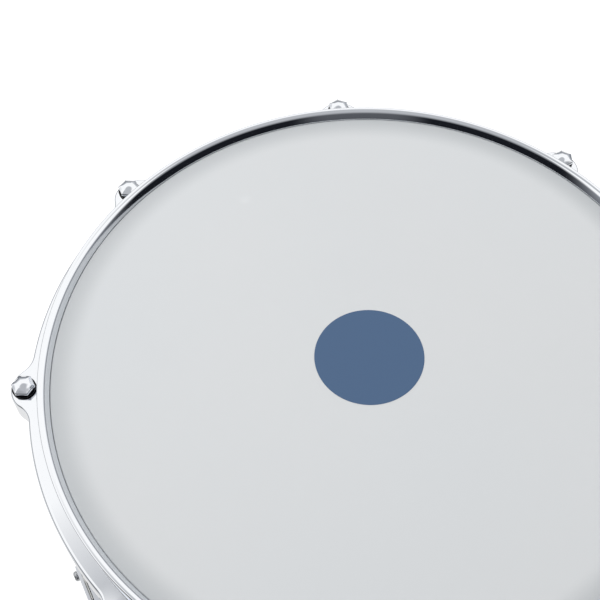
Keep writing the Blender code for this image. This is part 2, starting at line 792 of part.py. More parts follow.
def clamp_holes(side):
    """Cutters for the clamp screws, through the plate and blind into the block."""
    holes = []
    for across in (-1, 1):
        y = across * CLAMP_SCREW_SPACING / 2
        start = (side * (BLOCK_FRONT - CLAMP_SCREW_BITE - GAP), y, clamp_screw_height())
        end = (side * (STRAP_INSIDE + 4 * CLAMP_PLATE), y, clamp_screw_height())
        holes.append(
            rod_between("hole", start, end, CLAMP_SCREW_DIAMETER / 2 + HOLE_CLEARANCE, HOLE_STEPS)
        )
    return holes


def make_strainer(chrome, steel, brass):
    """The strainer: a bracket with a channel, a slide in it, the clamp block on the slide, the
    knob whose screw sets the block's height, and the lever that lets the slide down."""
    inner = SLIDE_WIDTH / 2 + SLIDE_CLEARANCE
    outer = inner + BRACKET_WALL
    wide = POST_SPACING / 2 + POST_DIAMETER / 2
    head = BRACKET_FOOT + STRAINER_HEIGHT
    base = box(
        "strainer_base", (BRACKET_BACK - 2 * BRACKET_WALL, -wide, BRACKET_FOOT),
        (BRACKET_FRONT, wide, head), chrome,
    )
    rails = []
    for side in (1, -1):
        low, high = sorted((side * inner, side * outer))
        rails.append(box("rail", (BRACKET_BACK, low, BRACKET_FOOT), (BLOCK_FRONT - GAP, high, head)))
        start = (lever_pivot().x, side * inner + side * BRACKET_WALL / 2, lever_pivot().z)
        end = (lever_pivot().x, side * (outer + LEVER_STUD_LENGTH), lever_pivot().z)
        rails.append(rod_between("stud", start, end, LEVER_STUD_DIAMETER / 2, HOLE_STEPS))
    join(base, *rails, *bracket_posts(1, chrome))
    cut(base, shell_cutter(), *fixing_bores(1))

    slide_back = BRACKET_FRONT + GAP
    slide_front = slide_back + SLIDE_DEPTH
    half = SLIDE_WIDTH / 2
    slide = box(
        "strainer_slide", (slide_back, -half, clamp_block_foot()), (slide_front, half, head), chrome
    )
    bridge = box(
        "bridge", (slide_back, -half, head - BRIDGE_HEIGHT), (BLOCK_FRONT, half, head)
    )
    join(slide, bridge)
    axis_x = (slide_front + GAP + BLOCK_FRONT) / 2
    shank = KNOB_SCREW_DIAMETER / 2
    screw_hole = rod_between(
        "hole", (axis_x, 0, head - 2 * BRIDGE_HEIGHT), (axis_x, 0, head + BRIDGE_HEIGHT),
        shank + HOLE_CLEARANCE, HOLE_STEPS,
    )
    cut(slide, screw_hole)
    set_origin(slide, (axis_x, 0, head))

    block = box(
        "strap_clamp_block", (slide_front + GAP, -half, clamp_block_foot()),
        (BLOCK_FRONT, half, clamp_block_top()), chrome,
    )
    block_bore = rod_between(
        "hole", (axis_x, 0, clamp_block_top() - KNOB_SCREW_BITE - GAP - KNOB_TRAVEL),
        (axis_x, 0, clamp_block_top() + GAP), shank + HOLE_CLEARANCE, HOLE_STEPS,
    )
    cut(block, block_bore, *clamp_holes(1))
    set_origin(block, (axis_x, 0, clamp_block_top()))
    make_clamp("strap_clamp_plate", 1, chrome, steel)

    knob_foot = head + KNOB_LIFT
    knob = turn(
        "tension_knob",
        [
            (0.0, knob_foot + KNOB_HEIGHT),
            (KNOB_DIAMETER / 2 - GAP * 2, knob_foot + KNOB_HEIGHT),
            (KNOB_DIAMETER / 2, knob_foot + KNOB_HEIGHT - GAP * 2),
            (KNOB_DIAMETER / 2, knob_foot + GAP),
            (KNOB_DIAMETER / 3, knob_foot + GAP),
            (KNOB_DIAMETER / 3, head + GAP),
            (0.0, head + GAP),
        ],
        brass, 2 * KNOB_GROOVES,
    )
    flute_knob(knob)
    knob.data.transform(Matrix.Translation((axis_x, 0, 0)))
    screw = rod_between(
        "screw", (axis_x, 0, clamp_block_top() - KNOB_SCREW_BITE), (axis_x, 0, knob_foot + GAP * 2),
        shank, SCREW_STEPS,
    )
    join(knob, screw)
    set_origin(knob, (axis_x, 0, head))
    make_lever(chrome, outer)


def flute_knob(knob):
    """Press the flutes into the knob's grip: every other row of points moves in."""
    step = math.tau / (2 * KNOB_GROOVES)
    for vertex in knob.data.vertices:
        radius = math.hypot(vertex.co.x, vertex.co.y)
        if radius < KNOB_DIAMETER / 2 - 3 * GAP:
            continue
        number = round(math.atan2(vertex.co.y, vertex.co.x) / step)
        if number % 2:
            vertex.co.x *= 1 - KNOB_GROOVE_DEPTH / radius
            vertex.co.y *= 1 - KNOB_GROOVE_DEPTH / radius


def lever_pivot():
    """The lever's pivot, level with the studs on the bracket's rails."""
    return Vector(((BRACKET_FRONT + BLOCK_FRONT) / 2 + BRACKET_WALL, 0.0, BRACKET_FOOT + LEVER_PIVOT_LIFT))


def make_lever(material, rail_face):
    """The throw-off lever: two arms on the studs, joined by the plate that a thumb pushes."""
    pivot = lever_pivot()
    front = pivot.x + LEVER_REACH
    top = pivot.z + LEVER_LENGTH
    hub = []
    for k in range(7):
        angle = math.radians(190 + 170 * k / 6)
        hub.append(
            (pivot.x + LEVER_HUB_RADIUS * math.cos(angle), pivot.z + LEVER_HUB_RADIUS * math.sin(angle))
        )
    plate_foot = top - LEVER_PLATE_HEIGHT
    outline = hub + [
        (front, plate_foot - LEVER_ARM),
        (front, top),
        (front - LEVER_ARM, top),
        (front - 2 * LEVER_ARM, plate_foot + LEVER_ARM),
        (pivot.x - LEVER_HUB_RADIUS + LEVER_ARM, pivot.z + 2 * LEVER_HUB_RADIUS),
    ]
    low = rail_face + GAP
    high = low + LEVER_ARM
    arms = [
        extrude("arm", outline, low, high, "Y", material),
        extrude("arm", outline, -high, -low, "Y", material),
    ]
    lever = box(
        "throw_off_lever", (front - LEVER_ARM, -high + GAP, plate_foot), (front, high - GAP, top), material
    )
    join(lever, *arms)
    bore = rod_between(
        "hole", (pivot.x, -2 * high, pivot.z), (pivot.x, 2 * high, pivot.z),
        LEVER_STUD_DIAMETER / 2 + HOLE_CLEARANCE, HOLE_STEPS,
    )
    cut(lever, bore)
    set_origin(lever, pivot)


def make_butt(chrome, steel):
    """The butt: a fixed bracket on the far side that holds the other strap."""
    half = SLIDE_WIDTH / 2
    wide = POST_SPACING / 2 + POST_DIAMETER / 2
    head = BRACKET_FOOT + BUTT_HEIGHT
    base = box(
        "butt_base", (-BRACKET_FRONT, -wide, BRACKET_FOOT),
        (-BRACKET_BACK + 2 * BRACKET_WALL, wide, head), chrome,
    )
    body = box("body", (-BLOCK_FRONT, -half, clamp_block_foot()), (-BRACKET_BACK, half, clamp_block_top()))
    join(base, body, *bracket_posts(-1, chrome))
    cut(base, shell_cutter(), *fixing_bores(-1), *clamp_holes(-1))
    make_clamp("butt_clamp_plate", -1, chrome, steel)


def make_vent(material):
    """The vent eyelet: a tube through the wall, turned over on both sides."""
    bore = VENT_BORE / 2
    tube = bore + VENT_TUBE_WALL
    flange = VENT_FLANGE_DIAMETER / 2
    out_face = SHELL_RADIUS + GAP
    in_face = math.sqrt((SHELL_RADIUS - SHELL_WALL) ** 2 - tube**2) - GAP * 3
    rim_in = tube + VENT_TUBE_WALL
    profile = [
        (bore, out_face + VENT_FLANGE),
        (flange - VENT_FLANGE / 2, out_face + VENT_FLANGE),
        (flange, out_face),
        (tube, out_face),
        (tube, in_face),
        (rim_in, in_face),
        (rim_in, in_face - VENT_FLANGE),
        (bore, in_face - VENT_FLANGE),
    ]
    vent = turn("vent_eyelet", profile, material, HOLE_STEPS)
    tilt = Matrix.Rotation(math.pi / 2, 4, "Y")
    spin = Matrix.Rotation(VENT_ANGLE, 4, "Z")
    vent.data.transform(Matrix.Translation((0, 0, vent_height())) @ spin @ tilt)
    return vent


def build():
    """Build the whole drum."""
    clear_scene()
    chrome = make_material("chromed_steel", (0.80, 0.81, 0.83), 0.08, 1.0)
    steel = make_material("zinc_plated_steel", (0.62, 0.63, 0.65), 0.25, 1.0)
    aluminium = make_material("spun_aluminium", (0.72, 0.73, 0.75), 0.22, 1.0)
    film = make_material("polyester_film", (0.70, 0.71, 0.72), 0.35, 0.0)
    webbing = make_material("nylon_strap", (0.75, 0.75, 0.73), 0.60, 0.0)
    brass = make_material("knurled_brass_nickel", (0.70, 0.69, 0.66), 0.20, 1.0)

    make_shell(aluminium)
    make_head("batter", BATTER_FACE, 1, film, aluminium)
    make_head("snare_side", SNARE_FACE, -1, film, aluminium)
    make_hoop("top_hoop", BATTER_FACE, 1, chrome)
    cut_gates(make_hoop("bottom_hoop", SNARE_FACE, -1, chrome))
    make_rods(chrome)
    make_nuts(chrome)
    make_washers("top_washer", TOP_LEDGE + GAP, chrome)
    make_washers("bottom_washer", BOTTOM_LEDGE - GAP - WASHER_THICKNESS, chrome)
    make_snares(steel)
    make_strap("strainer_strap", 1, webbing)
    make_strap("butt_strap", -1, webbing)
    make_strainer(chrome, steel, brass)
    make_fixing_screws("strainer_fixing_screw", 1, steel)
    make_butt(chrome, steel)
    make_fixing_screws("butt_fixing_screw", -1, steel)
    make_vent(chrome)


build()
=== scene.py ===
"""A caixa in the studio: the pieces and finishes that dress the drum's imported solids."""

import math

import bmesh
import bpy
import numpy as np
from mathutils import Matrix, Vector


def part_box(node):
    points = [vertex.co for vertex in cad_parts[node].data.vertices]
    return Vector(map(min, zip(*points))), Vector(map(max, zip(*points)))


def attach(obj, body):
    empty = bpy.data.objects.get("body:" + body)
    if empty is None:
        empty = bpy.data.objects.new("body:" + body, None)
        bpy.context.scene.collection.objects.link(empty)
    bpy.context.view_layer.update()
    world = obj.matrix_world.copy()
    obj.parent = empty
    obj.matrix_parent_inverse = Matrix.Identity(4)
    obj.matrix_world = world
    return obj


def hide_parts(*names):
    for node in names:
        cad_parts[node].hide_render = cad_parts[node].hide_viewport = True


bl_info = {
    "name": "Caixa drum",
    "version": (1, 0, 0),
    "blender": (4, 5, 0),
    "location": "View3D > Sidebar > Caixa",
    "description": "Makes the shell, heads, hoops, rods, snares and studio of a caixa",
    "category": "Add Mesh",
}

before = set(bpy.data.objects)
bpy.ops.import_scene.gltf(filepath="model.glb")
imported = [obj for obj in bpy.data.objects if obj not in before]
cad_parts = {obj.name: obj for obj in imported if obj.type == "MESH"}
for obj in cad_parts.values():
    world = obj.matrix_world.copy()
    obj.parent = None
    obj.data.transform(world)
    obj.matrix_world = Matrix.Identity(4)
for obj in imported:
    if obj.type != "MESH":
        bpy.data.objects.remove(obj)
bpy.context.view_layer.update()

# The solids' sizes, in metres: clearance, thin sheets and the shell
GAP = 0.0003
FILM = 0.0003
STRAP = 0.0006
SHELL_RADIUS = 0.1524
SHELL_DEPTH = 0.1524
SHELL_WALL = 0.0015
VENT_HEIGHT = 0.1130
FIXING_HEIGHT = 0.0490
FIXING_ACROSS = 0.0230

# Levels of the snare side's face, the shell and the batter head's face
SNARE_FACE = 0.0042
SHELL_FOOT = SNARE_FACE + FILM + GAP
SHELL_TOP = SHELL_FOOT + SHELL_DEPTH
MID_HEIGHT = (SHELL_FOOT + SHELL_TOP) / 2
BATTER_FACE = SHELL_TOP + GAP + FILM

# The hoops' sheet: inner wall, lip, ledge and skirt, with heights from the head's face
HOOP_SHEET = 0.0020
HOOP_RADIUS = 0.1540
LIP_RADIUS = 0.1594
LIP_RISE = 0.0042
LIP_SPREAD = 0.0023
LEDGE_DROP = 0.0074
SKIRT_RADIUS = 0.1661
SKIRT_DROP = 0.0215
SKIRT_BEND = 0.0018
COLLAR_RADIUS = 0.1539

# Rods, washers and nuts, stacked on the ears' ledges with a gap between each two
ROD_COUNT = 8
ROD_ANGLES = (np.arange(ROD_COUNT) + 0.5) * (math.tau / ROD_COUNT)
ROD_CIRCLE = 0.1680
ROD_RADIUS = 0.0030
ROD_TOP = 0.1545
WASHER = 0.0010
TOP_WASHER_FOOT = BATTER_FACE - LEDGE_DROP + GAP
NUT_SEAT = TOP_WASHER_FOOT + WASHER + GAP
BOTTOM_WASHER_FOOT = SNARE_FACE + LEDGE_DROP - GAP - WASHER
ROD_HEAD_TOP = BOTTOM_WASHER_FOOT - GAP
NUT_TURNS = [0.20, 0.55, 0.10, 0.42, 0.00, 0.30, 0.62, 0.15]

# Snare wires
STRANDS = 16
STRAND_PITCH = 0.00225
STRAND_HEIGHT = 0.00315

# The photograph's camera, in the drum's own frame
CAMERA_TURN = math.radians(-24.6)
CAMERA_PLACE = (-0.03240, -0.27049, 0.61870)
CAMERA_TILT = math.radians(56.540)
CAMERA_ROLL = math.radians(-2.2205)
CAMERA_LENS = 66.268
CAMERA_SENSOR = 36.0

# The room that the chrome mirrors. Its dark side and its door are turns about Z with the camera
# at a turn of zero. Each grey has the sine of the height at which a mirror looks to it.
DARK_SIDE = math.radians(-85)
DOOR_SIDE = math.radians(-90)
BRIGHT_GREYS = [
    (0.0, "#6A6D73"),
    (0.14, "#8E9197"),
    (0.34, "#CDCFD3"),
    (0.44, "#FFFFFF"),
    (0.88, "#FFFFFF"),
    (0.94, "#B8BABE"),
]
DARK_GREYS = [(0.0, "#14161B"), (0.36, "#1A1C22"), (0.56, "#77797D"), (0.86, "#B8BABE")]
DOOR_GREYS = [(0.0, "#4C4E53"), (0.36, "#5C5E63"), (0.56, "#8A8C90"), (0.86, "#B8BABE")]
WHITE = (1.0, 1.0, 1.0, 1.0)

# Chrome is a clear mirror, a little blue, with a faint haze of handling. The washers' blackened
# steel has an oily sheen. Zinc is duller and slightly warmer than the chrome beside it. Each has a
# colour, a roughness, and the size in metres and the two roughnesses of the patches that vary it.
CHROME = "chrome_on_polished_steel"
BLACK_OXIDE = "black_oxide_on_steel"
ZINC = "zinc_on_turned_steel"
METALS = {
    CHROME: ("#F8FAFD", 0.05, 0.012, 0.03, 0.07),
    BLACK_OXIDE: ("#17181B", 0.35, 0.003, 0.30, 0.42),
    ZINC: ("#C6C8CA", 0.25, 0.004, 0.20, 0.34),
}

# Painted shade on the film, standing in for the shade near the hoop: its white falls to a share of itself
# between two radii
PAINTED_SHADE_START = 0.139
PAINTED_SHADE_END = 0.1525
PAINTED_SHADE_LEFT = 0.80


# Settings that a user would change


def in_metres(name, description, default):
    """A setting in metres."""
    return bpy.props.FloatProperty(name=name, description=description, default=default, unit="LENGTH")


class CaixaShape(bpy.types.PropertyGroup):
    """Sizes of the forms that the solids leave plain."""

    lip_bend: in_metres("Lip bend", "Radius of the hoop's inner bend", 0.0030)
    bead_rise: in_metres("Bead rise", "How far the shell's bead stands out", 0.0024)
    nut_height: in_metres("Nut height", "Height of a dome nut", 0.0038)
    disc_radius: in_metres("Disc radius", "Radius of the printed disc", 0.0266)
    coil_pitch: in_metres("Coil pitch", "Distance between a snare wire's curls", 0.0015)
    thread_pitch: in_metres("Thread pitch", "Distance between a rod's threads", 0.0010)


class CaixaFinish(bpy.types.PropertyGroup):
    """Colours and translucency of the finishes."""

    disc_ink: bpy.props.StringProperty(
        name="Disc ink", description="Colour of the printed disc, as sRGB hex", default="#486385"
    )
    film_cool: bpy.props.StringProperty(
        name="Film, cool", description="The film's cooler white, as sRGB hex", default="#E9EDF0"
    )
    film_warm: bpy.props.StringProperty(
        name="Film, warm", description="The film's warmer white, as sRGB hex", default="#EDEEEF"
    )
    film_alpha: bpy.props.FloatProperty(
        name="Film cover", description="How much each face of the film hides", default=0.78, min=0.0, max=1.0
    )


class CaixaStudio(bpy.types.PropertyGroup):
    """Light levels of the studio."""

    sky_level: bpy.props.FloatProperty(
        name="Sky", description="Strength of the light from all round", default=0.62, min=0.0
    )
    key_power: bpy.props.FloatProperty(
        name="Key light", description="Power of the large soft light", default=22.0, unit="POWER", min=0.0
    )


# Colours and node trees


def linear(hex_colour):
    """An sRGB hex colour as linear red, green and blue, by the sRGB curve."""
    parts = [int(hex_colour[k : k + 2], 16) / 255 for k in (1, 3, 5)]
    return tuple(p / 12.92 if p <= 0.04045 else ((p + 0.055) / 1.055) ** 2.4 for p in parts)


def add_node(tree, kind, inputs=None, links=None, **settings):
    """A node of a kind, with its settings, its inputs' values and its inputs' links, each link
    as input: (node, output)."""
    node = tree.nodes.new(kind)
    for key, value in settings.items():
        setattr(node, key, value)
    for key, value in (inputs or {}).items():
        node.inputs[key].default_value = value
    for key, (source, output) in (links or {}).items():
        tree.links.new(source.outputs[output], node.inputs[key])
    return node


def new_material(name, base, metallic, roughness):
    """A material with a Principled shader, and the piece's own coordinates for its patterns."""
    material = bpy.data.materials.new(name)
    material.use_nodes = True
    tree = material.node_tree
    shader = tree.nodes["Principled BSDF"]
    shader.inputs["Base Color"].default_value = (*linear(base), 1.0)
    shader.inputs["Metallic"].default_value = metallic
    shader.inputs["Roughness"].default_value = roughness
    place = add_node(tree, "ShaderNodeTexCoord")
    return material, tree, shader, place


def vary_roughness(tree, shader, place, size, low, high):
    """Roughness that drifts between two values over patches of a size in metres."""
    noise = add_node(
        tree, "ShaderNodeTexNoise", {"Scale": 1.0 / size, "Detail": 3.0}, {"Vector": (place, "Object")}
    )
    ramp = add_node(
        tree, "ShaderNodeMapRange", {"To Min": low, "To Max": high}, {"Value": (noise, "Fac")}
    )
    tree.links.new(ramp.outputs["Result"], shader.inputs["Roughness"])
    return noise


def add_bump(tree, shader, pattern, strength, distance):
    """Fine relief on a shader, by the first output of a pattern's node."""
    bump = add_node(
        tree, "ShaderNodeBump", {"Strength": strength, "Distance": distance}, {"Height": (pattern, 0)}
    )
    tree.links.new(bump.outputs["Normal"], shader.inputs["Normal"])


def plain_metal(name):
    """A metal by its name in METALS, made the first time that it is asked for."""
    if name not in bpy.data.materials:
        colour, roughness, size, low, high = METALS[name]
        _, tree, shader, place = new_material(name, colour, 1.0, roughness)
        vary_roughness(tree, shader, place, size, low, high)
    return bpy.data.materials[name]


def spun_aluminium():
    """Aluminium spun and polished on a lathe, made the first time that it is asked for: a soft
    mirror, drawn out into fine rings. The lathe's marks are drawn at 0.8 mm, as coarse as they
    need to be to show."""
    name = "spun_polished_aluminium"
    if name in bpy.data.materials:
        return bpy.data.materials[name]
    material, tree, shader, place = new_material(name, "#DADCDF", 1.0, 0.2)
    squeeze = add_node(
        tree, "ShaderNodeMapping", {"Scale": (4.0, 4.0, 1250.0)}, {"Vector": (place, "Object")}
    )
    rings = add_node(
        tree, "ShaderNodeTexNoise", {"Scale": 1.0, "Detail": 2.0}, {"Vector": (squeeze, "Vector")}
    )
    ramp = add_node(
        tree, "ShaderNodeMapRange", {"To Min": 0.13, "To Max": 0.30}, {"Value": (rings, "Fac")}
    )
    tree.links.new(ramp.outputs["Result"], shader.inputs["Roughness"])
    add_bump(tree, shader, rings, 0.05, 0.0001)
    return material


def coated_film(finish):
    """Polyester film with a thin milky coat: a smooth pale skin with a soft gloss, through
    which the shell's inside only just shows. Its white drifts over 0.15 m patches. Towards the
    edge its white is darkened by painted shade, which stands in for the shade near the hoop."""
    material, tree, shader, place = new_material("coated_polyester_film", finish.film_cool, 0.0, 0.3)
    shader.inputs["Alpha"].default_value = finish.film_alpha
    shader.inputs["IOR"].default_value = 1.60
    drift = add_node(
        tree, "ShaderNodeTexNoise", {"Scale": 6.5, "Detail": 1.0}, {"Vector": (place, "Object")}
    )
    cool, warm = linear(finish.film_cool), linear(finish.film_warm)
    white = add_node(
        tree, "ShaderNodeMix", {6: (*cool, 1.0), 7: (*warm, 1.0)}, {0: (drift, "Fac")}, data_type="RGBA"
    )
    flat = add_node(
        tree, "ShaderNodeVectorMath", {1: (1.0, 1.0, 0.0)}, {0: (place, "Object")}, operation="MULTIPLY"
    )
    out = add_node(tree, "ShaderNodeVectorMath", None, {0: (flat, "Vector")}, operation="LENGTH")
    # Painted shade: the white is darkened towards the rim by radius alone, in place of the hoop's shade
    edge = add_node(
        tree, "ShaderNodeMapRange", {"From Min": PAINTED_SHADE_START, "From Max": PAINTED_SHADE_END},
        {"Value": (out, "Value")}, interpolation_type="SMOOTHSTEP",
    )
    shade = add_node(
        tree, "ShaderNodeMix", {7: (*(PAINTED_SHADE_LEFT * part for part in cool), 1.0)},
        {0: (edge, "Result"), 6: (white, 2)}, data_type="RGBA",
    )
    tree.links.new(shade.outputs[2], shader.inputs["Base Color"])
    vary_roughness(tree, shader, place, 0.02, 0.20, 0.26)
    return material


def disc_ink(finish):
    """Screen ink on the film: a flat matt colour with a slight tooth of 0.4 mm."""
    material, tree, shader, place = new_material("screen_ink", finish.disc_ink, 0.0, 0.5)
    tooth = vary_roughness(tree, shader, place, 0.0004, 0.45, 0.60)
    add_bump(tree, shader, tooth, 0.1, 0.00001)
    return material


def towards(tree, turn, source, output, start, end, low=0.0, high=1.0):
    """A smooth step towards a side of the room, from one value to another, between two dot
    products of a vector with that side's direction."""
    facing = turn + CAMERA_TURN
    dot = add_node(
        tree, "ShaderNodeVectorMath", {1: (math.cos(facing), math.sin(facing), 0.0)},
        {0: (source, output)}, operation="DOT_PRODUCT",
    )
    return add_node(
        tree, "ShaderNodeMapRange", {"From Min": start, "From Max": end, "To Min": low, "To Max": high},
        {"Value": (dot, "Value")}, interpolation_type="SMOOTHSTEP",
    )


def nylon_tape():
    """Woven nylon tape: matt off-white, with threads 1 mm apart both ways, read from the
    tape's own map in millimetres."""
    material, tree, shader, place = new_material("woven_nylon_tape", "#DCDDDA", 0.0, 0.7)
    heights = []
    for direction in ("X", "Y"):
        heights.append(
            add_node(
                tree, "ShaderNodeTexWave", {"Scale": 0.32}, {"Vector": (place, "UV")},
                bands_direction=direction,
            )
        )
    both = add_node(
        tree, "ShaderNodeMath", None, {0: (heights[0], "Fac"), 1: (heights[1], "Fac")},
        operation="MULTIPLY",
    )
    add_bump(tree, shader, both, 0.6, 0.0002)
    shader.inputs["Sheen Weight"].default_value = 0.2
    return material


def floor_paper():
    """Studio paper: white without a mark, bright to the camera and soft under the drum. In
    mirrors it darkens towards the room's dark side."""
    material, tree, shader, place = new_material("studio_paper", "#F2F2F2", 0.0, 0.9)
    grain = add_node(
        tree, "ShaderNodeTexNoise", {"Scale": 400.0, "Detail": 2.0}, {"Vector": (place, "Object")}
    )
    add_bump(tree, shader, grain, 0.02, 0.0002)
    seen = add_node(tree, "ShaderNodeLightPath")
    lift = 0.45
    glow = add_node(
        tree, "ShaderNodeMath", {1: lift}, {0: (seen, "Is Camera Ray")}, operation="MULTIPLY"
    )
    shader.inputs["Emission Color"].default_value = WHITE
    tree.links.new(glow.outputs["Value"], shader.inputs["Emission Strength"])
    shade = towards(tree, DARK_SIDE, place, "Object", 0.02, 0.40, 0.80, 0.05)
    mirror = add_node(tree, "ShaderNodeEmission", {"Color": WHITE}, {"Strength": (shade, "Result")})
    both = add_node(
        tree, "ShaderNodeMixShader", None, {0: (seen, "Is Glossy Ray"), 1: (shader, 0), 2: (mirror, 0)}
    )
    end = tree.nodes["Material Output"]
    tree.links.new(both.outputs[0], end.inputs["Surface"])
    return material


# Surfaces as whole arrays


def grid_faces(rows, columns, wrap_rows=True, wrap_columns=True):
    """Quads of a grid of points, row by row, closed round either way on request."""
    row = np.arange(rows if wrap_rows else rows - 1)[:, None]
    column = np.arange(columns if wrap_columns else columns - 1)[None, :]
    ahead, beside = (row + 1) % rows, (column + 1) % columns
    here, there = row * columns, ahead * columns
    quads = np.broadcast_arrays(here + column, here + beside, there + beside, there + column)
    return np.stack(quads, axis=-1).reshape(-1, 4)


def tube_faces(rows, wide):
    """A grid whose rows close round, with its first and its last row as one face each."""
    ring = np.arange(wide)[None, :]
    return [grid_faces(rows, wide, False, True), ring[:, ::-1], ring + (rows - 1) * wide]


def round_angles(segments):
    """Equal steps of a full turn."""
    return np.arange(segments) * (math.tau / segments)


def round_grid(radius, height):
    """Points round Z. Each row of radii belongs to one angle and each column to one height: x
    is the radius times the cosine of the angle, and y is the radius times its sine."""
    angle = round_angles(len(radius))[:, None]
    across, along = radius * np.cos(angle), radius * np.sin(angle)
    return np.stack([across, along, np.broadcast_to(height, radius.shape)], axis=-1).reshape(-1, 3)


def capped(radius, height, foot, top):
    """A form round Z as round_grid has it, closed by a fan of triangles to a pole at each end."""
    segments, wide = radius.shape
    row = np.arange(segments)
    ahead = (row + 1) % segments
    first, last = np.full(segments, segments * wide), wide - 1
    faces = [
        grid_faces(segments, wide, True, False),
        np.stack([first, row * wide, ahead * wide], axis=-1),
        np.stack([first + 1, ahead * wide + last, row * wide + last], axis=-1),
    ]
    return np.concatenate([round_grid(radius, height), [[0, 0, foot], [0, 0, top]]]), faces


def faced_out(points, face_sets):
    """Closed faces, turned over where they face inwards. There the volume inside, summed by the
    tetrahedra from the origin, is negative."""
    volume = 0.0
    for faces in face_sets:
        for k in range(1, faces.shape[1] - 1):
            a, b, c = points[faces[:, 0]], points[faces[:, k]], points[faces[:, k + 1]]
            volume += np.einsum("ij,ij->", a, np.cross(b, c)) / 6
    return [faces[:, ::-1] for faces in face_sets] if volume < 0 else face_sets


def mesh_of(name, points, face_sets, sharp=30.0, uv=None):
    """A mesh from an array of points and arrays of faces, turned to face outwards."""
    points = np.asarray(points, np.float64).reshape(-1, 3)
    face_sets = faced_out(points, face_sets)
    corners = np.concatenate([faces.ravel() for faces in face_sets])
    counts = np.concatenate([np.full(len(faces), faces.shape[1]) for faces in face_sets])
    mesh = bpy.data.meshes.new(name)
    mesh.vertices.add(len(points))
    mesh.vertices.foreach_set("co", points.astype(np.float32).ravel())
    mesh.loops.add(len(corners))
    mesh.loops.foreach_set("vertex_index", corners.astype(np.int32))
    mesh.polygons.add(len(counts))
    mesh.polygons.foreach_set("loop_start", (np.cumsum(counts) - counts).astype(np.int32))
    mesh.update(calc_edges=True)
    if uv is not None:
        layer = mesh.uv_layers.new(name="tape")
        layer.data.foreach_set("uv", uv[corners].astype(np.float32).ravel())
    mesh.shade_smooth()
    mesh.set_sharp_from_angle(angle=math.radians(sharp))
    return mesh


def add_object(name, data):
    """An object in the scene, with a mesh, a light or a camera as its data."""
    thing = bpy.data.objects.new(name, data)
    bpy.context.scene.collection.objects.link(thing)
    return thing


def add_piece(name, mesh, material, body, nodes):
    """A piece of the drum: it rides on a body and stands for the solids that it replaces."""
    piece = add_object(name, mesh)
    mesh.materials.clear()
    mesh.materials.append(material)
    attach(piece, body)
    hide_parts(*nodes)
    return piece


def add_surface(name, surface, material, body, nodes, sharp=30.0):
    """A piece whose mesh is one (points, faces)."""
    add_piece(name, mesh_of(name, *surface, sharp), material, body, nodes)


def rounded(corners, steps=6):
    """A closed outline from corners (first, second, radius). Each corner with a radius becomes
    an arc that is tangent to both of its sides: its tangent points lie radius times the
    tangent of half the turn from the corner."""
    count = len(corners)
    spots = np.array([corner[:2] for corner in corners], float)
    outline = []
    for k, (_, _, radius) in enumerate(corners):
        here = spots[k]
        back = spots[k - 1] - here
        ahead = spots[(k + 1) % count] - here
        back, ahead = back / np.linalg.norm(back), ahead / np.linalg.norm(ahead)
        half = math.acos(max(-1.0, min(1.0, float(back @ ahead)))) / 2
        if radius <= 0.0 or half > math.radians(89):
            outline.append(here[None, :])
            continue
        middle = (back + ahead) / np.linalg.norm(back + ahead) * radius / math.sin(half)
        centre = here + middle
        first = back * radius / math.tan(half) - middle
        last = ahead * radius / math.tan(half) - middle
        sweep = math.pi - 2 * half
        share = np.linspace(0, 1, steps + 1)[:, None]
        arc = (np.sin((1 - share) * sweep) * first + np.sin(share * sweep) * last) / math.sin(sweep)
        outline.append(centre + arc)
    return np.concatenate(outline)


def turned(profile, segments=192):
    """A profile of (radius, height) carried round Z. One that starts and ends on the axis gets a
    pole at each end."""
    profile = np.asarray(profile, float)
    poles = profile[0, 0] == 0.0 and profile[-1, 0] == 0.0
    inner = profile[1:-1] if poles else profile
    radius = np.broadcast_to(inner[:, 0], (segments, len(inner)))
    if poles:
        return capped(radius, inner[:, 1], profile[0, 1], profile[-1, 1])
    return round_grid(radius, inner[:, 1]), [grid_faces(segments, len(inner))]


def moved(points, matrix):
    """Points carried by a 4 by 4 matrix."""
    matrix = np.array(matrix)
    return points @ matrix[:3, :3].T + matrix[:3, 3]


def place_at(point, turn=0.0):
    """The matrix that turns about Z and then moves to a point."""
    return Matrix.Translation(point) @ Matrix.Rotation(turn, 4, "Z")


def around(radius, angle, height):
    """The point at a radius and an angle from the drum's axis."""
    return (radius * math.cos(angle), radius * math.sin(angle), height)


def joined(parts):
    """Several (points, faces) as one."""
    points, faces, start = [], [], 0
    for part_points, part_faces in parts:
        points.append(part_points)
        faces += [f + start for f in faced_out(part_points, part_faces)]
        start += len(part_points)
    return np.concatenate(points), faces


def cut_away(piece_mesh, name, cutters):
    """A mesh less some closed cutters, by an exact Boolean."""
    carrier = add_object(name, piece_mesh)
    for points, faces in cutters:
        cutter = add_object("cutter", mesh_of("cutter", points, faces))
        modifier = carrier.modifiers.new("cut", "BOOLEAN")
        modifier.operation = "DIFFERENCE"
        modifier.solver = "EXACT"
        modifier.object = cutter
    bpy.context.view_layer.update()
    graph = bpy.context.evaluated_depsgraph_get()
    result = bpy.data.meshes.new_from_object(carrier.evaluated_get(graph))
    for modifier in list(carrier.modifiers):
        bpy.data.objects.remove(modifier.object, do_unlink=True)
    bpy.data.objects.remove(carrier, do_unlink=True)
    result.shade_smooth()
    result.set_sharp_from_angle(angle=math.radians(30))
    return result


def box_points(low, high):
    """The corners and faces of a box."""
    low, high = np.array(low), np.array(high)
    pick = np.array([[x, y, z] for x in (0, 1) for y in (0, 1) for z in (0, 1)])
    faces = [[0, 1, 3, 2], [4, 6, 7, 5], [0, 4, 5, 1], [2, 3, 7, 6], [0, 2, 6, 4], [1, 5, 7, 3]]
    return low + pick * (high - low), [np.array(faces)]


# Hoops


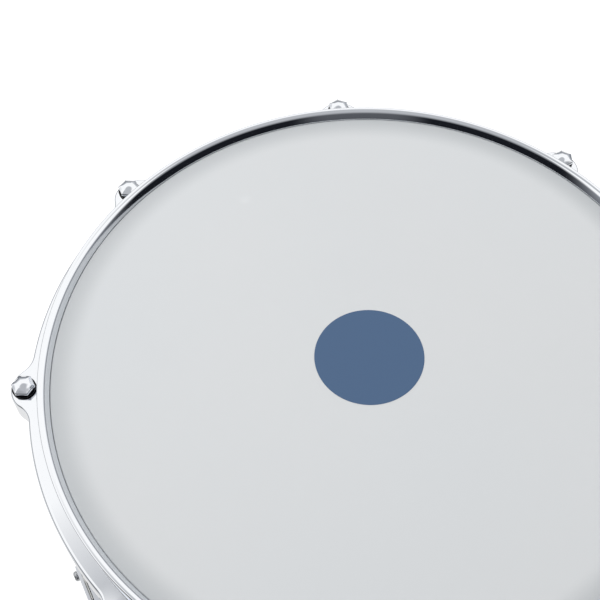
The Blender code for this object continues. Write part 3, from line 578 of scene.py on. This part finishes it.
def ear_rise(angle):
    """How far the skirt stands out at each angle from an ear's middle: the boss is a circle
    about a centre on the middle line, and a concave circle leads into it from the skirt."""
    boss, reach, fillet = 0.0123, 0.0088, 0.0120
    centre = SKIRT_RADIUS + reach - boss
    hub = SKIRT_RADIUS + fillet
    foot = math.acos((hub**2 + centre**2 - (boss + fillet) ** 2) / (2 * hub * centre))
    hub_point = np.array([hub * math.cos(foot), hub * math.sin(foot)])
    touch = np.array([centre, 0.0]) + (hub_point - [centre, 0.0]) * boss / (boss + fillet)
    edge = math.atan2(touch[1], touch[0])
    away = np.abs(angle)
    on_boss = centre * np.cos(away) + np.sqrt(np.maximum(0, boss**2 - (centre * np.sin(away)) ** 2))
    off = away - foot
    on_fillet = hub * np.cos(off) - np.sqrt(np.maximum(0, fillet**2 - (hub * np.sin(off)) ** 2))
    radius = np.where(away < edge, on_boss, np.where(away < foot, on_fillet, SKIRT_RADIUS))
    return radius - SKIRT_RADIUS


def hoop_surface(face, out, lip_bend, stations=1152):
    """A hoop: its rounded section carried round Z. A point's radius is the section's plus the
    ear's rise at its angle, times how far across the ledge the point lies."""
    wall, skirt_inside = HOOP_RADIUS + HOOP_SHEET, SKIRT_RADIUS - HOOP_SHEET
    lip_foot, ledge_foot = LIP_RISE - HOOP_SHEET, -LEDGE_DROP - HOOP_SHEET
    section = rounded(
        [
            (HOOP_RADIUS, ledge_foot, SKIRT_BEND),
            (HOOP_RADIUS, 0.0, 0.0010),
            (HOOP_RADIUS + LIP_SPREAD, LIP_RISE, lip_bend),
            (LIP_RADIUS, LIP_RISE, 0.0008),
            (LIP_RADIUS, lip_foot, 0.0008),
            (HOOP_RADIUS + 0.0041, lip_foot, 0.0010),
            (wall, 0.0, 0.0010),
            (wall, -LEDGE_DROP, 0.0012),
            (SKIRT_RADIUS, -LEDGE_DROP, SKIRT_BEND),
            (SKIRT_RADIUS, -SKIRT_DROP, 0.0008),
            (skirt_inside, -SKIRT_DROP, 0.0008),
            (skirt_inside, ledge_foot, 0.0003),
        ]
    )
    sector = math.tau / ROD_COUNT
    rise = ear_rise((round_angles(stations) + sector) % sector - sector / 2)
    ledge_start, ledge_width = 0.1598, 0.0040
    share = np.clip((section[:, 0] - ledge_start) / ledge_width, 0, 1)
    radius = section[:, 0] + rise[:, None] * share
    return round_grid(radius, face + out * section[:, 1]), [grid_faces(stations, len(section))]


def make_hoops(shape, chrome):
    """Both hoops. The bottom one has a gate for the snares at each end of their line."""
    top = hoop_surface(BATTER_FACE, 1, shape.lip_bend)
    add_surface("top_hoop_chrome", top, chrome, "drum", ["top_hoop"])
    bottom = hoop_surface(SNARE_FACE, -1, shape.lip_bend)
    half, sill, below, near, far = 0.0150, 0.0111, -0.0050, 0.1500, 0.1620
    gates = [
        box_points((near, -half, below), (far, half, sill)),
        box_points((-far, -half, below), (-near, half, sill)),
    ]
    mesh = cut_away(mesh_of("bottom_hoop_chrome", *bottom), "hoop", gates)
    add_piece("bottom_hoop_chrome", mesh, chrome, "drum", ["bottom_hoop"])


# Shell, heads and vent


def shell_profile(bead_rise):
    """The shell's section: the bead is one raised cosine wave over its width, pushed out from
    the wall, and both edges turn in at 45 degrees over a rounded crown."""
    wide = 0.0130
    along = np.linspace(-0.5, 0.5, 25)
    rise = bead_rise * 0.5 * (1 + np.cos(math.tau * along))
    bead = np.stack([rise, along * wide], axis=-1)
    crown, reach, drop = 0.0020, 0.0075, 0.0055
    steps = np.array(
        [(0, crown), (0.0003, 0.0009), (0.0011, 0.0001), (crown, 0), (0.0027, 0.0003), (reach, drop)]
    )

    def edge(face, way):
        """A bearing edge, by how far each point lies in from the wall and back from the face."""
        return [SHELL_RADIUS, face] - steps * [1, way]

    slant = SHELL_WALL * math.sqrt(2)
    inner, tip, bend = SHELL_RADIUS - SHELL_WALL, SHELL_RADIUS - reach, crown + slant - SHELL_WALL
    top, foot = edge(SHELL_TOP, 1), edge(SHELL_FOOT, -1)
    outside = np.concatenate([top[::-1], bead[::-1] + [SHELL_RADIUS, MID_HEIGHT], foot])
    inside = np.concatenate(
        [
            [[tip, SHELL_FOOT + drop + slant], [inner, SHELL_FOOT + bend]],
            bead + [inner, MID_HEIGHT],
            [[inner, SHELL_TOP - bend], [tip, SHELL_TOP - drop - slant]],
        ]
    )
    return np.concatenate([outside, inside])


def make_shell(shape, aluminium):
    """The shell, holed for the vent and for the four fixing screws."""
    shell = turned(shell_profile(shape.bead_rise), 256)
    vent, fixing = 0.0050, 0.0023
    holes = [hole_across((0, SHELL_RADIUS, VENT_HEIGHT), (0, 1, 0), vent)]
    for side in (1, -1):
        for across in (FIXING_ACROSS, -FIXING_ACROSS):
            place = (side * SHELL_RADIUS, across, FIXING_HEIGHT)
            holes.append(hole_across(place, (side, 0, 0), fixing))
    mesh = cut_away(mesh_of("spun_shell", *shell), "shell", holes)
    add_piece("spun_shell", mesh, aluminium, "drum", ["shell"])


def hole_across(point, direction, radius, half=0.008):
    """A round cutter through a point, along a direction."""
    rod = [(0.0, half), (radius, half), (radius, -half), (0.0, -half)]
    points, faces = turned(rod, 48)
    turn = Vector(direction).to_track_quat("Z", "Y").to_matrix().to_4x4()
    return moved(points, Matrix.Translation(point) @ turn), faces


def film_profile(face, out):
    """A film's section, from the axis over the collar into the flesh hoop and back. Both faces
    bend over the collar on a quarter circle."""
    rim, drop = COLLAR_RADIUS, 0.0132
    end, slot = 0.1565, 0.0193
    flat = (0.0800, 0.1400)
    bend = np.linspace(0, math.pi / 2, 9)
    over, inside = 0.0008, 0.0005
    crown = np.stack([rim - over + over * np.sin(bend), -over + over * np.cos(bend)], axis=-1)
    under = np.stack([rim - over + inside * np.sin(bend), -over + inside * np.cos(bend)], axis=-1)[::-1]
    section = np.concatenate(
        [
            [[0.0, 0.0], [flat[0], 0.0], [flat[1], 0.0]],
            crown,
            [[rim, -drop], [end, -drop - 0.0021], [end, -slot], [end - FILM, -slot]],
            [[end - FILM, -drop - 0.0023], [rim - FILM, -drop - 0.0002]],
            under,
            [[flat[1], -FILM], [flat[0], -FILM], [0.0, -FILM]],
        ]
    )
    section[:, 1] = face + out * section[:, 1]
    return section


def flesh_profile(face, out):
    """A flesh hoop's section: a bar with a slot down one side for the film's edge."""
    inside, slot_in, slot_out, outside = 0.1546, 0.1559, 0.1568, 0.1601
    top, step, slot_foot, foot = -0.0097, -0.0166, -0.0196, -SKIRT_DROP
    section = rounded(
        [
            (slot_out, top, 0.0006),
            (outside, top, 0.0006),
            (outside, foot, 0.0010),
            (inside, foot, 0.0010),
            (inside, step, 0.0003),
            (slot_in, step, 0.0003),
            (slot_in, slot_foot, 0.0002),
            (slot_out, slot_foot, 0.0002),
        ],
        4,
    )
    section[:, 1] = face + out * section[:, 1]
    return section


def make_heads(shape, finish, aluminium):
    """Both films, their flesh hoops and the disc that is printed on the batter film."""
    film = coated_film(finish)
    for kind, face, out in (("batter", BATTER_FACE, 1), ("snare_side", SNARE_FACE, -1)):
        skin = turned(film_profile(face, out), 256)
        add_surface(kind + "_film_coated", skin, film, "drum", [kind + "_film"], 40.0)
        ring = turned(flesh_profile(face, out), 256)
        add_surface(kind + "_flesh_ring", ring, aluminium, "drum", [kind + "_flesh_hoop"])
    radius, foot = shape.disc_radius, BATTER_FACE + 0.00002
    top = foot + 0.00004
    disc = turned([(0.0, top), (radius, top), (radius, foot), (0.0, foot)])
    add_surface("printed_disc", disc, disc_ink(finish), "drum", [])


def make_vent(chrome):
    """The vent eyelet, turned over on both sides of the shell's wall."""
    bore, tube, inner_rim, outer_rim = 0.0035, 0.0047, 0.0059, 0.0080
    outside, wall_out, wall_in, inside = 0.1539, 0.1527, 0.1499, 0.1487
    profile = rounded(
        [
            (bore, outside, 0.0008),
            (outer_rim, outside, 0.0009),
            (outer_rim, wall_out, 0.0002),
            (tube, wall_out, 0.0),
            (tube, wall_in, 0.0),
            (inner_rim, wall_in, 0.0002),
            (inner_rim, inside, 0.0005),
            (bore, inside, 0.0005),
        ],
        5,
    )
    points, faces = turned(profile, 96)
    turn = Matrix.Rotation(math.pi / 2, 4, "Z") @ Matrix.Rotation(math.pi / 2, 4, "Y")
    eyelet = moved(points, Matrix.Translation((0, 0, VENT_HEIGHT)) @ turn), faces
    add_surface("vent_eyelet_chrome", eyelet, chrome, "drum", ["vent_eyelet"])


# Rods, washers and nuts


def hexagon_radius(angle, flat):
    """A hexagon's radius at each angle: half its width over the cosine of the angle from the
    nearest flat's middle."""
    sixth = math.pi / 3
    return flat / np.cos((angle + sixth / 2) % sixth - sixth / 2)


def hex_solid(heights, limits, flat, segments=120):
    """A hexagon bar trimmed by a turned form: at each height the radius is the smaller of the
    hexagon's and the turned form's."""
    radius = np.minimum(hexagon_radius(round_angles(segments), flat)[:, None], limits)
    return capped(radius, heights, heights[0], heights[-1])


def nut_form(height):
    """A low dome nut 10.2 mm across its flats. At each height a hexagon is drawn in by one
    share: none up the sides, a little over an elliptic shoulder, and then along a dome, where
    the hexagon passes into a circle. A turned foot trims its corners."""
    flat, circle, wide = 0.0051, 0.00545, 0.0059
    side_top, shoulder_rise, shoulder_draw = 0.0015, 0.00055, 0.10
    bend = np.linspace(0, math.radians(71), 6)
    side_heights = np.array([0.0, 0.0002, 0.0005, side_top])
    shoulder = 1.0 - shoulder_draw * (1 - np.cos(bend))
    shoulder_heights = side_top + shoulder_rise * np.sin(bend)
    dome = np.linspace(shoulder[-1], 0.02, 8)[1:]
    inwards = 1 - dome / shoulder[-1]
    dome_heights = height - (height - shoulder_heights[-1]) * (1 - inwards) ** 1.9
    heights = np.concatenate([side_heights, shoulder_heights[1:], dome_heights])
    share = np.concatenate([np.ones(len(side_heights)), shoulder[1:], dome])
    limits = np.full(len(heights), wide)
    limits[:2] = [0.0053, 0.0056]
    soft = np.concatenate([np.zeros(len(heights) - len(dome)), inwards**0.7])
    across = hexagon_radius(round_angles(120), flat)[:, None] * (1 - soft) + circle * soft
    return capped(np.minimum(across * share, limits), heights, 0.0, heights[-1])


def make_nuts(shape, chrome):
    """Eight dome nuts, each turned as it came to rest."""
    points, faces = nut_form(shape.nut_height)
    for number, angle in enumerate(ROD_ANGLES, start=1):
        spot = place_at(around(ROD_CIRCLE, angle, NUT_SEAT), angle + NUT_TURNS[number - 1])
        nut = moved(points, spot), faces
        node = f"tension_nut_{number}"
        add_surface(f"dome_nut_{number}", nut, chrome, f"nut_{number}", [node], 60.0)


def washer_form():
    """A flat washer with broken edges."""
    outside, bore = 0.0059, 0.0036
    profile = [(outside, WASHER, 0.0003), (outside, 0.0, 0.0003), (bore, 0.0, 0.0002), (bore, WASHER, 0.0002)]
    return turned(rounded(profile, 3), 72)


def make_washers(black, chrome):
    """A black washer over each ear of the top hoop and a chromed one under each ear below."""
    points, faces = washer_form()
    for number, angle in enumerate(ROD_ANGLES, start=1):
        for kind, finish, foot, metal in (
            ("top", "black", TOP_WASHER_FOOT, black),
            ("bottom", "chrome", BOTTOM_WASHER_FOOT, chrome),
        ):
            washer = moved(points, place_at(around(ROD_CIRCLE, angle, foot))), faces
            name, node = f"{kind}_washer_{finish}_{number}", f"{kind}_washer_{number}"
            add_surface(name, washer, metal, "drum", [node])


def rod_form(pitch):
    """A rod's shank. Its radius is plain below and, over the last 30 mm, less a thread: a
    wave that climbs one pitch in each turn."""
    low, high, thread, thread_depth = ROD_HEAD_TOP - 0.0005, ROD_TOP, 0.0300, 0.00028
    plain = np.array([low, high - thread - 0.001])
    cut = np.arange(high - thread, high, pitch / 8)
    heights = np.concatenate([plain, cut, [high]])
    phase = (heights / pitch - round_angles(32)[:, None] / math.tau) * math.tau
    depth = np.where(heights < high - thread, 0.0, thread_depth)
    return capped(ROD_RADIUS - depth * (0.5 + 0.5 * np.cos(phase)), heights, low, high)


def make_rods(shape, chrome):
    """Eight through rods, each with its hexagon head below the bottom hoop."""
    flat, tall = 0.0051, 0.0045
    heights = np.array([0.0, 0.0003, 0.0008, 0.0040, tall]) + ROD_HEAD_TOP - tall
    head = hex_solid(heights, [0.0046, 0.0050, 0.0061, 0.0061, 0.0056], flat)
    points, faces = joined([rod_form(shape.thread_pitch), head])
    for number, angle in enumerate(ROD_ANGLES, start=1):
        rod = moved(points, place_at(around(ROD_CIRCLE, angle, 0.0), angle)), faces
        add_surface(f"through_rod_{number}", rod, chrome, "drum", [f"tension_rod_{number}"], 25.0)


# Snares


def coil_form(start, end, across, height, pitch, coil=0.00053, wire=0.00021):
    """A coiled wire along X. Its middle line is a helix: across and up from the strand's line
    by the coil's radius times the cosine and the sine of the turn. The wire's own four-sided
    section stands on the helix's outward direction and on X."""
    per_turn = 8
    count = int(round((end - start) / pitch)) * per_turn
    share = np.arange(count + 1) / count
    turn = share * (count / per_turn) * math.tau
    line = start + (end - start) * share
    outward = np.stack([np.zeros_like(turn), np.cos(turn), np.sin(turn)], axis=-1)
    middle = np.stack([line, np.full_like(line, across), np.full_like(line, height)], axis=-1)
    middle = middle + coil * outward
    side = np.array([1.0, 0.0, 0.0])
    ring = np.arange(4) * (math.tau / 4) + math.tau / 8
    points = (
        middle[:, None, :]
        + wire * np.cos(ring)[:, None] * outward[:, None, :]
        + wire * np.sin(ring)[:, None] * side
    )
    return points.reshape(-1, 3), tube_faces(count + 1, 4)


def rounded_plate(low, high, corner, edge):
    """A plate with round corners in plan and a bevelled rim: stacked outlines of a round-
    cornered rectangle, drawn in at the top and the bottom."""
    outline = rounded(
        [
            (low[0], low[1], corner),
            (high[0], low[1], corner),
            (high[0], high[1], corner),
            (low[0], high[1], corner),
        ]
    )
    centre = outline.mean(axis=0)
    away = outline - centre
    away = away / np.linalg.norm(away, axis=1)[:, None]
    levels = [(low[2], edge), (low[2] + edge, 0.0), (high[2] - edge, 0.0), (high[2], edge)]
    wide = len(outline)
    rows = [np.column_stack([outline - away * draw, np.full(wide, level)]) for level, draw in levels]
    return np.concatenate(rows), tube_faces(len(levels), wide)


def make_snares(shape, zinc):
    """Sixteen coiled wires, laid on a plate at each end."""
    reach, middle = 0.1155, (STRANDS - 1) / 2
    wires = [
        coil_form(-reach, reach, (strand - middle) * STRAND_PITCH, STRAND_HEIGHT, shape.coil_pitch)
        for strand in range(STRANDS)
    ]
    add_surface("snare_coils", joined(wires), zinc, "snares", ["snare_wires"], 60.0)
    half, foot, top, corner, edge = 0.0189, 0.0020, 0.0030, 0.0030, 0.0002
    plates = []
    for side in (1, -1):
        near, far = sorted((side * 0.1110, side * 0.1250))
        plates.append(rounded_plate((near, -half, foot), (far, half, top), corner, edge))
    add_surface("snare_end_plates", joined(plates), zinc, "snares", [])


def strap_line(side):
    """A strap's middle line: along the snares, up a tangent through the gate, round the
    skirt's lower bend on an arc about its centre, and straight up to the clamp."""
    bend = np.array([SKIRT_RADIUS - SKIRT_BEND, SNARE_FACE + LEDGE_DROP + SKIRT_BEND])
    radius = SKIRT_BEND + GAP + STRAP / 2
    start, level, top = 0.1170, 0.0036, 0.0463
    leave = np.array([SHELL_RADIUS, level])
    away = leave - bend
    lean = math.acos(radius / np.linalg.norm(away))
    first = math.atan2(away[1], away[0]) + lean
    angle = np.linspace(first, 0.0, 17)
    arc = bend + radius * np.stack([np.cos(angle), np.sin(angle)], axis=-1)
    line = np.concatenate([[[start, level]], [leave], arc, [[bend[0] + radius, top]]])
    return line * [side, 1]


def make_straps(tape):
    """Two straps: a flat band with soft edges carried along its line."""
    half, thick, soft = 0.0080, STRAP / 2, 0.00025
    corners = [(-half, -thick, soft), (half, -thick, soft), (half, thick, soft), (-half, thick, soft)]
    across = rounded(corners, 3)
    for name, side in (("strainer", 1), ("butt", -1)):
        line = strap_line(side)
        along = np.gradient(line, axis=0)
        along = along / np.linalg.norm(along, axis=1)[:, None]
        normal = np.stack([-along[:, 1], along[:, 0]], axis=-1)
        length = np.concatenate([[0], np.cumsum(np.linalg.norm(np.diff(line, axis=0), axis=1))])
        flat = line[:, None, :] + across[:, 1:2] * normal[:, None, :]
        rows, wide = flat.shape[:2]
        sideways = np.broadcast_to(across[:, 0], (rows, wide))
        lengthways = np.broadcast_to(length[:, None], (rows, wide))
        points = np.stack([flat[..., 0], sideways, flat[..., 1]], axis=-1)
        uv = 1000 * np.stack([lengthways, sideways], axis=-1).reshape(-1, 2)
        mesh = mesh_of(f"{name}_tape", points, tube_faces(rows, wide), 40.0, uv)
        add_piece(f"{name}_tape", mesh, tape, "snares", [f"{name}_strap"])


# Strainer and butt


def soften(node, name, material, body, width=0.0004):
    """A copy of a solid with its doubles merged, its flats made whole and its edges rounded."""
    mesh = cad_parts[node].data.copy()
    shape = bmesh.new()
    shape.from_mesh(mesh)
    bmesh.ops.remove_doubles(shape, verts=shape.verts, dist=1e-6)
    bmesh.ops.dissolve_limit(shape, angle_limit=math.radians(1), verts=shape.verts, edges=shape.edges)
    shape.to_mesh(mesh)
    shape.free()
    if "custom_normal" in mesh.attributes:
        mesh.attributes.remove(mesh.attributes["custom_normal"])
    mesh.shade_smooth()
    mesh.set_sharp_from_angle(angle=math.radians(30))
    piece = add_piece(name, mesh, material, body, [node])
    bevel = piece.modifiers.new("edges", "BEVEL")
    bevel.width = width
    bevel.segments = 2
    bevel.limit_method = "ANGLE"
    bevel.angle_limit = math.radians(35)
    bevel.harden_normals = True
    return piece


def screw_form(length, head_radius, head_height, shank):
    """A pan-head screw along Z, its head's seat at zero and its shank below, with a slot."""
    profile = rounded(
        [
            (shank, 0.0, 0.0),
            (shank, -length, 0.0003),
            (0.0, -length, 0.0),
            (0.0, head_height, 0.0),
            (head_radius, head_height, head_height * 0.6),
            (head_radius, 0.0, 0.0002),
        ],
        5,
    )
    start = int(np.argmax(profile[:, 0] == 0.0))
    profile = np.roll(profile, -start - 1, axis=0)
    points, faces = turned(profile, 64)
    slot = box_points(
        (-0.0004, -2 * head_radius, head_height * 0.45), (0.0004, 2 * head_radius, 2 * head_height)
    )
    return cut_away(mesh_of("screw", points, faces), "screw", [slot])


def place_screw(name, form, seat, direction, turn, zinc, body, node):
    """A copy of a screw, its head's seat at a point and its head facing a direction."""
    mesh = form.copy()
    mesh.name = name
    aim = Vector(direction).to_track_quat("Z", "Y").to_matrix().to_4x4()
    mesh.transform(Matrix.Translation(seat) @ aim @ Matrix.Rotation(turn, 4, "Z"))
    add_piece(name, mesh, zinc, body, [node])


def make_screws(zinc):
    """The clamps' four screws from outside, and the four fixing screws inside the shell."""
    head_height = 0.0022
    clamp = screw_form(0.0078, 0.0028, head_height, 0.0015)
    fixing = screw_form(0.0096, 0.0031, head_height, 0.0020)
    for side, kind, body in ((1, "strap", "strap_clamp"), (-1, "butt", "drum")):
        for number, across in enumerate((-1, 1), start=1):
            node = f"{kind}_clamp_plate_screw_{number}"
            seat = (side * 0.1694, across * 0.0106, 0.0390)
            name = f"{kind}_clamp_slotted_{number}"
            place_screw(name, clamp, seat, (side, 0, 0), 0.4 + number, zinc, body, node)
    for side, kind in ((1, "strainer"), (-1, "butt")):
        for number, across in enumerate((-1, 1), start=1):
            node = f"{kind}_fixing_screw_{number}"
            low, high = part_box(node)
            inner = min(abs(low.x), abs(high.x)) + head_height
            seat = (side * inner, across * FIXING_ACROSS, FIXING_HEIGHT)
            name = f"{kind}_fixing_slotted_{number}"
            place_screw(name, fixing, seat, (-side, 0, 0), 0.9 * number, zinc, "drum", node)


def make_knob(chrome):
    """The tension knob: a drum whose radius is a wave of 30 straight flutes, on a collar, with
    its screw below. Each level is a radius, a height and the share of the flutes that it has."""
    low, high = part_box("tension_knob")
    centre = ((low.x + high.x) / 2, (low.y + high.y) / 2, 0.0)
    foot, top = high.z - 0.0100, high.z
    flutes, flute_depth = 30, 0.00025
    levels = np.array(
        [
            (0.0, foot - 0.0027, 0), (0.0038, foot - 0.0027, 0), (0.0040, foot - 0.0024, 0),
            (0.0040, foot, 0), (0.0052, foot, 0), (0.0057, foot + 0.0004, 1), (0.0060, foot + 0.0009, 1),
            (0.0060, top - 0.0009, 1), (0.0057, top - 0.0004, 1), (0.0050, top, 0), (0.0, top, 0),
        ]
    )
    inner = levels[1:-1]
    flute = flute_depth * np.cos(flutes * round_angles(240))
    radius = inner[:, 0] - inner[:, 2] * (flute_depth - flute[:, None])
    grip = capped(radius, inner[:, 1], levels[0, 1], levels[-1, 1])
    shank = turned([(0.0, foot), (0.0020, foot), (0.0020, low.z), (0.0, low.z)], 32)
    points, faces = joined([grip, shank])
    knob = points + np.array(centre), faces
    add_surface("tension_knob_knurled", knob, chrome, "knob", ["tension_knob"], 35.0)


def make_fittings(chrome):
    """The strainer's and the butt's formed pieces, with their edges rounded."""
    for node, body, width in (
        ("strainer_base", "drum", 0.0004),
        ("butt_base", "drum", 0.0004),
        ("strainer_slide", "slide", 0.0004),
        ("strap_clamp_block", "strap_clamp", 0.0003),
        ("strap_clamp_plate", "strap_clamp", 0.0004),
        ("butt_clamp_plate", "drum", 0.0004),
        ("throw_off_lever", "lever", 0.0005),
    ):
        soften(node, node + "_chrome", chrome, body, width)


# Studio


def height_ramp(tree, parts, stops):
    """A grey that changes with the height a mirror looks to. Each stop is the sine of that
    height and a grey, as sRGB hex."""
    ramp = add_node(tree, "ShaderNodeValToRGB", None, {0: (parts, "Z")})
    elements = ramp.color_ramp.elements
    while len(elements) < len(stops):
        elements.new(0.5)
    for element, (place, grey) in zip(elements, stops):
        element.position = place
        element.color = (*linear(grey), 1.0)
    return ramp


def make_world(studio):
    """Light from all round. The camera sees white. Mirrors see a white room that is dark on the
    camera's side up to eye height and grey above it, with a paler door in the middle."""
    world = bpy.data.worlds.new("studio_room")
    bpy.context.scene.world = world
    world.use_nodes = True
    tree = world.node_tree
    tree.nodes.clear()
    seen = add_node(tree, "ShaderNodeLightPath")
    place = add_node(tree, "ShaderNodeTexCoord")
    parts = add_node(tree, "ShaderNodeSeparateXYZ", None, {0: (place, "Generated")})
    level = add_node(
        tree, "ShaderNodeVectorMath", {1: (1.0, 1.0, 0.0)}, {0: (place, "Generated")}, operation="MULTIPLY"
    )
    level = add_node(tree, "ShaderNodeVectorMath", None, {0: (level, "Vector")}, operation="NORMALIZE")
    dark = towards(tree, DARK_SIDE, level, "Vector", 0.12, 0.40)
    door = towards(tree, DOOR_SIDE, level, "Vector", 0.93, 0.99)
    bright_side = height_ramp(tree, parts, BRIGHT_GREYS)
    dark_side = height_ramp(tree, parts, DARK_GREYS)
    door_side = height_ramp(tree, parts, DOOR_GREYS)
    front = add_node(
        tree, "ShaderNodeMix", None, {0: (door, "Result"), 6: (dark_side, "Color"), 7: (door_side, "Color")},
        data_type="RGBA",
    )
    room = add_node(
        tree, "ShaderNodeMix", None, {0: (dark, "Result"), 6: (bright_side, "Color"), 7: (front, 2)},
        data_type="RGBA",
    )
    mirror = add_node(tree, "ShaderNodeBackground", {"Strength": 1.0}, {"Color": (room, 2)})
    soft = add_node(tree, "ShaderNodeBackground", {"Color": WHITE, "Strength": studio.sky_level})
    plain = add_node(tree, "ShaderNodeBackground", {"Color": WHITE, "Strength": 1.0})
    lit = add_node(
        tree, "ShaderNodeMixShader", None, {0: (seen, "Is Glossy Ray"), 1: (soft, 0), 2: (mirror, 0)}
    )
    shown = add_node(
        tree, "ShaderNodeMixShader", None, {0: (seen, "Is Camera Ray"), 1: (lit, 0), 2: (plain, 0)}
    )
    add_node(tree, "ShaderNodeOutputWorld", None, {"Surface": (shown, 0)})


def make_floor():
    """The floor: a wide sheet of paper at the height of the drum's foot."""
    half = 4.0
    points = np.array([[-half, -half, 0], [half, -half, 0], [half, half, 0], [-half, half, 0]])
    mesh = bpy.data.meshes.new("studio_floor")
    mesh.from_pydata(points.tolist(), [], [(0, 1, 2, 3)])
    floor = add_object("studio_floor", mesh)
    mesh.materials.append(floor_paper())


def make_lights(studio):
    """One large soft light, above and behind the drum on the left."""
    data = bpy.data.lights.new("key", "AREA")
    data.shape = "SQUARE"
    data.size = 1.6
    data.energy = studio.key_power
    light = add_object("key", data)
    light.location = Matrix.Rotation(CAMERA_TURN, 3, "Z") @ Vector((-0.7, 0.9, 1.9))
    light.rotation_euler = (-light.location).to_track_quat("-Z", "Y").to_euler()
    light.visible_glossy = False


def make_camera():
    """The photograph's camera: its right, up and back directions, turned into the drum's
    frame, are the columns of its matrix."""
    tilt, roll = CAMERA_TILT, CAMERA_ROLL
    right = Vector((1, 0, 0))
    ahead = Vector((0, math.cos(tilt), -math.sin(tilt)))
    up = right.cross(ahead)
    across = right * math.cos(roll) + up * math.sin(roll)
    upward = -right * math.sin(roll) + up * math.cos(roll)
    matrix = Matrix((across, upward, -ahead)).transposed().to_4x4()
    matrix = Matrix.Translation(CAMERA_PLACE) @ matrix
    data = bpy.data.cameras.new("photograph")
    data.lens = CAMERA_LENS
    data.sensor_width = CAMERA_SENSOR
    data.clip_start = 0.01
    camera = add_object("photograph", data)
    camera.matrix_world = Matrix.Rotation(CAMERA_TURN, 4, "Z") @ matrix
    bpy.context.scene.camera = camera


# Operators, panel and registration


class CAIXA_OT_shell(bpy.types.Operator):
    """Make the spun shell and its vent."""

    bl_idname = "caixa.shell"
    bl_label = "Shell"

    def execute(self, context):
        make_shell(context.scene.caixa_shape, spun_aluminium())
        make_vent(plain_metal(CHROME))
        return {"FINISHED"}


class CAIXA_OT_heads(bpy.types.Operator):
    """Make both heads and the printed disc."""

    bl_idname = "caixa.heads"
    bl_label = "Heads"

    def execute(self, context):
        make_heads(context.scene.caixa_shape, context.scene.caixa_finish, spun_aluminium())
        return {"FINISHED"}


class CAIXA_OT_hoops(bpy.types.Operator):
    """Make both flanged hoops."""

    bl_idname = "caixa.hoops"
    bl_label = "Hoops"

    def execute(self, context):
        make_hoops(context.scene.caixa_shape, plain_metal(CHROME))
        return {"FINISHED"}


class CAIXA_OT_rods(bpy.types.Operator):
    """Make the rods, their washers and their dome nuts."""

    bl_idname = "caixa.rods"
    bl_label = "Rods, washers and nuts"

    def execute(self, context):
        make_rods(context.scene.caixa_shape, plain_metal(CHROME))
        make_washers(plain_metal(BLACK_OXIDE), plain_metal(CHROME))
        make_nuts(context.scene.caixa_shape, plain_metal(CHROME))
        return {"FINISHED"}


class CAIXA_OT_snares(bpy.types.Operator):
    """Make the snare wires and their straps."""

    bl_idname = "caixa.snares"
    bl_label = "Snares"

    def execute(self, context):
        make_snares(context.scene.caixa_shape, plain_metal(ZINC))
        make_straps(nylon_tape())
        return {"FINISHED"}


class CAIXA_OT_strainer(bpy.types.Operator):
    """Make the strainer, the butt and their screws."""

    bl_idname = "caixa.strainer"
    bl_label = "Strainer and butt"

    def execute(self, context):
        make_fittings(plain_metal(CHROME))
        make_knob(plain_metal(CHROME))
        make_screws(plain_metal(ZINC))
        return {"FINISHED"}


class CAIXA_OT_studio(bpy.types.Operator):
    """Make the floor, the room, the light and the camera."""

    bl_idname = "caixa.studio"
    bl_label = "Studio"

    def execute(self, context):
        studio = context.scene.caixa_studio
        make_world(studio)
        make_floor()
        make_lights(studio)
        make_camera()
        context.scene.view_settings.view_transform = "Standard"
        return {"FINISHED"}


OPERATORS = (
    CAIXA_OT_shell,
    CAIXA_OT_heads,
    CAIXA_OT_hoops,
    CAIXA_OT_rods,
    CAIXA_OT_snares,
    CAIXA_OT_strainer,
    CAIXA_OT_studio,
)


class CAIXA_PT_panel(bpy.types.Panel):
    """The drum's operators and settings."""

    bl_idname = "CAIXA_PT_panel"
    bl_label = "Caixa"
    bl_space_type = "VIEW_3D"
    bl_region_type = "UI"
    bl_category = "Caixa"

    def draw(self, context):
        for group in (context.scene.caixa_shape, context.scene.caixa_finish, context.scene.caixa_studio):
            for name in group.__annotations__:
                self.layout.prop(group, name)
        for operator in OPERATORS:
            self.layout.operator(operator.bl_idname)


GROUPS = {"caixa_shape": CaixaShape, "caixa_finish": CaixaFinish, "caixa_studio": CaixaStudio}


def register():
    """Register the settings, the operators and the panel."""
    for name, group in GROUPS.items():
        bpy.utils.register_class(group)
        setattr(bpy.types.Scene, name, bpy.props.PointerProperty(type=group))
    for cls in (*OPERATORS, CAIXA_PT_panel):
        bpy.utils.register_class(cls)


def unregister():
    """Take back what register did."""
    for cls in (CAIXA_PT_panel, *OPERATORS):
        bpy.utils.unregister_class(cls)
    for name, group in GROUPS.items():
        delattr(bpy.types.Scene, name)
        bpy.utils.unregister_class(group)


def main():
    register()
    for operator in OPERATORS:
        family, name = operator.bl_idname.split(".")
        getattr(getattr(bpy.ops, family), name)()


if __name__ == "__main__":
    main()
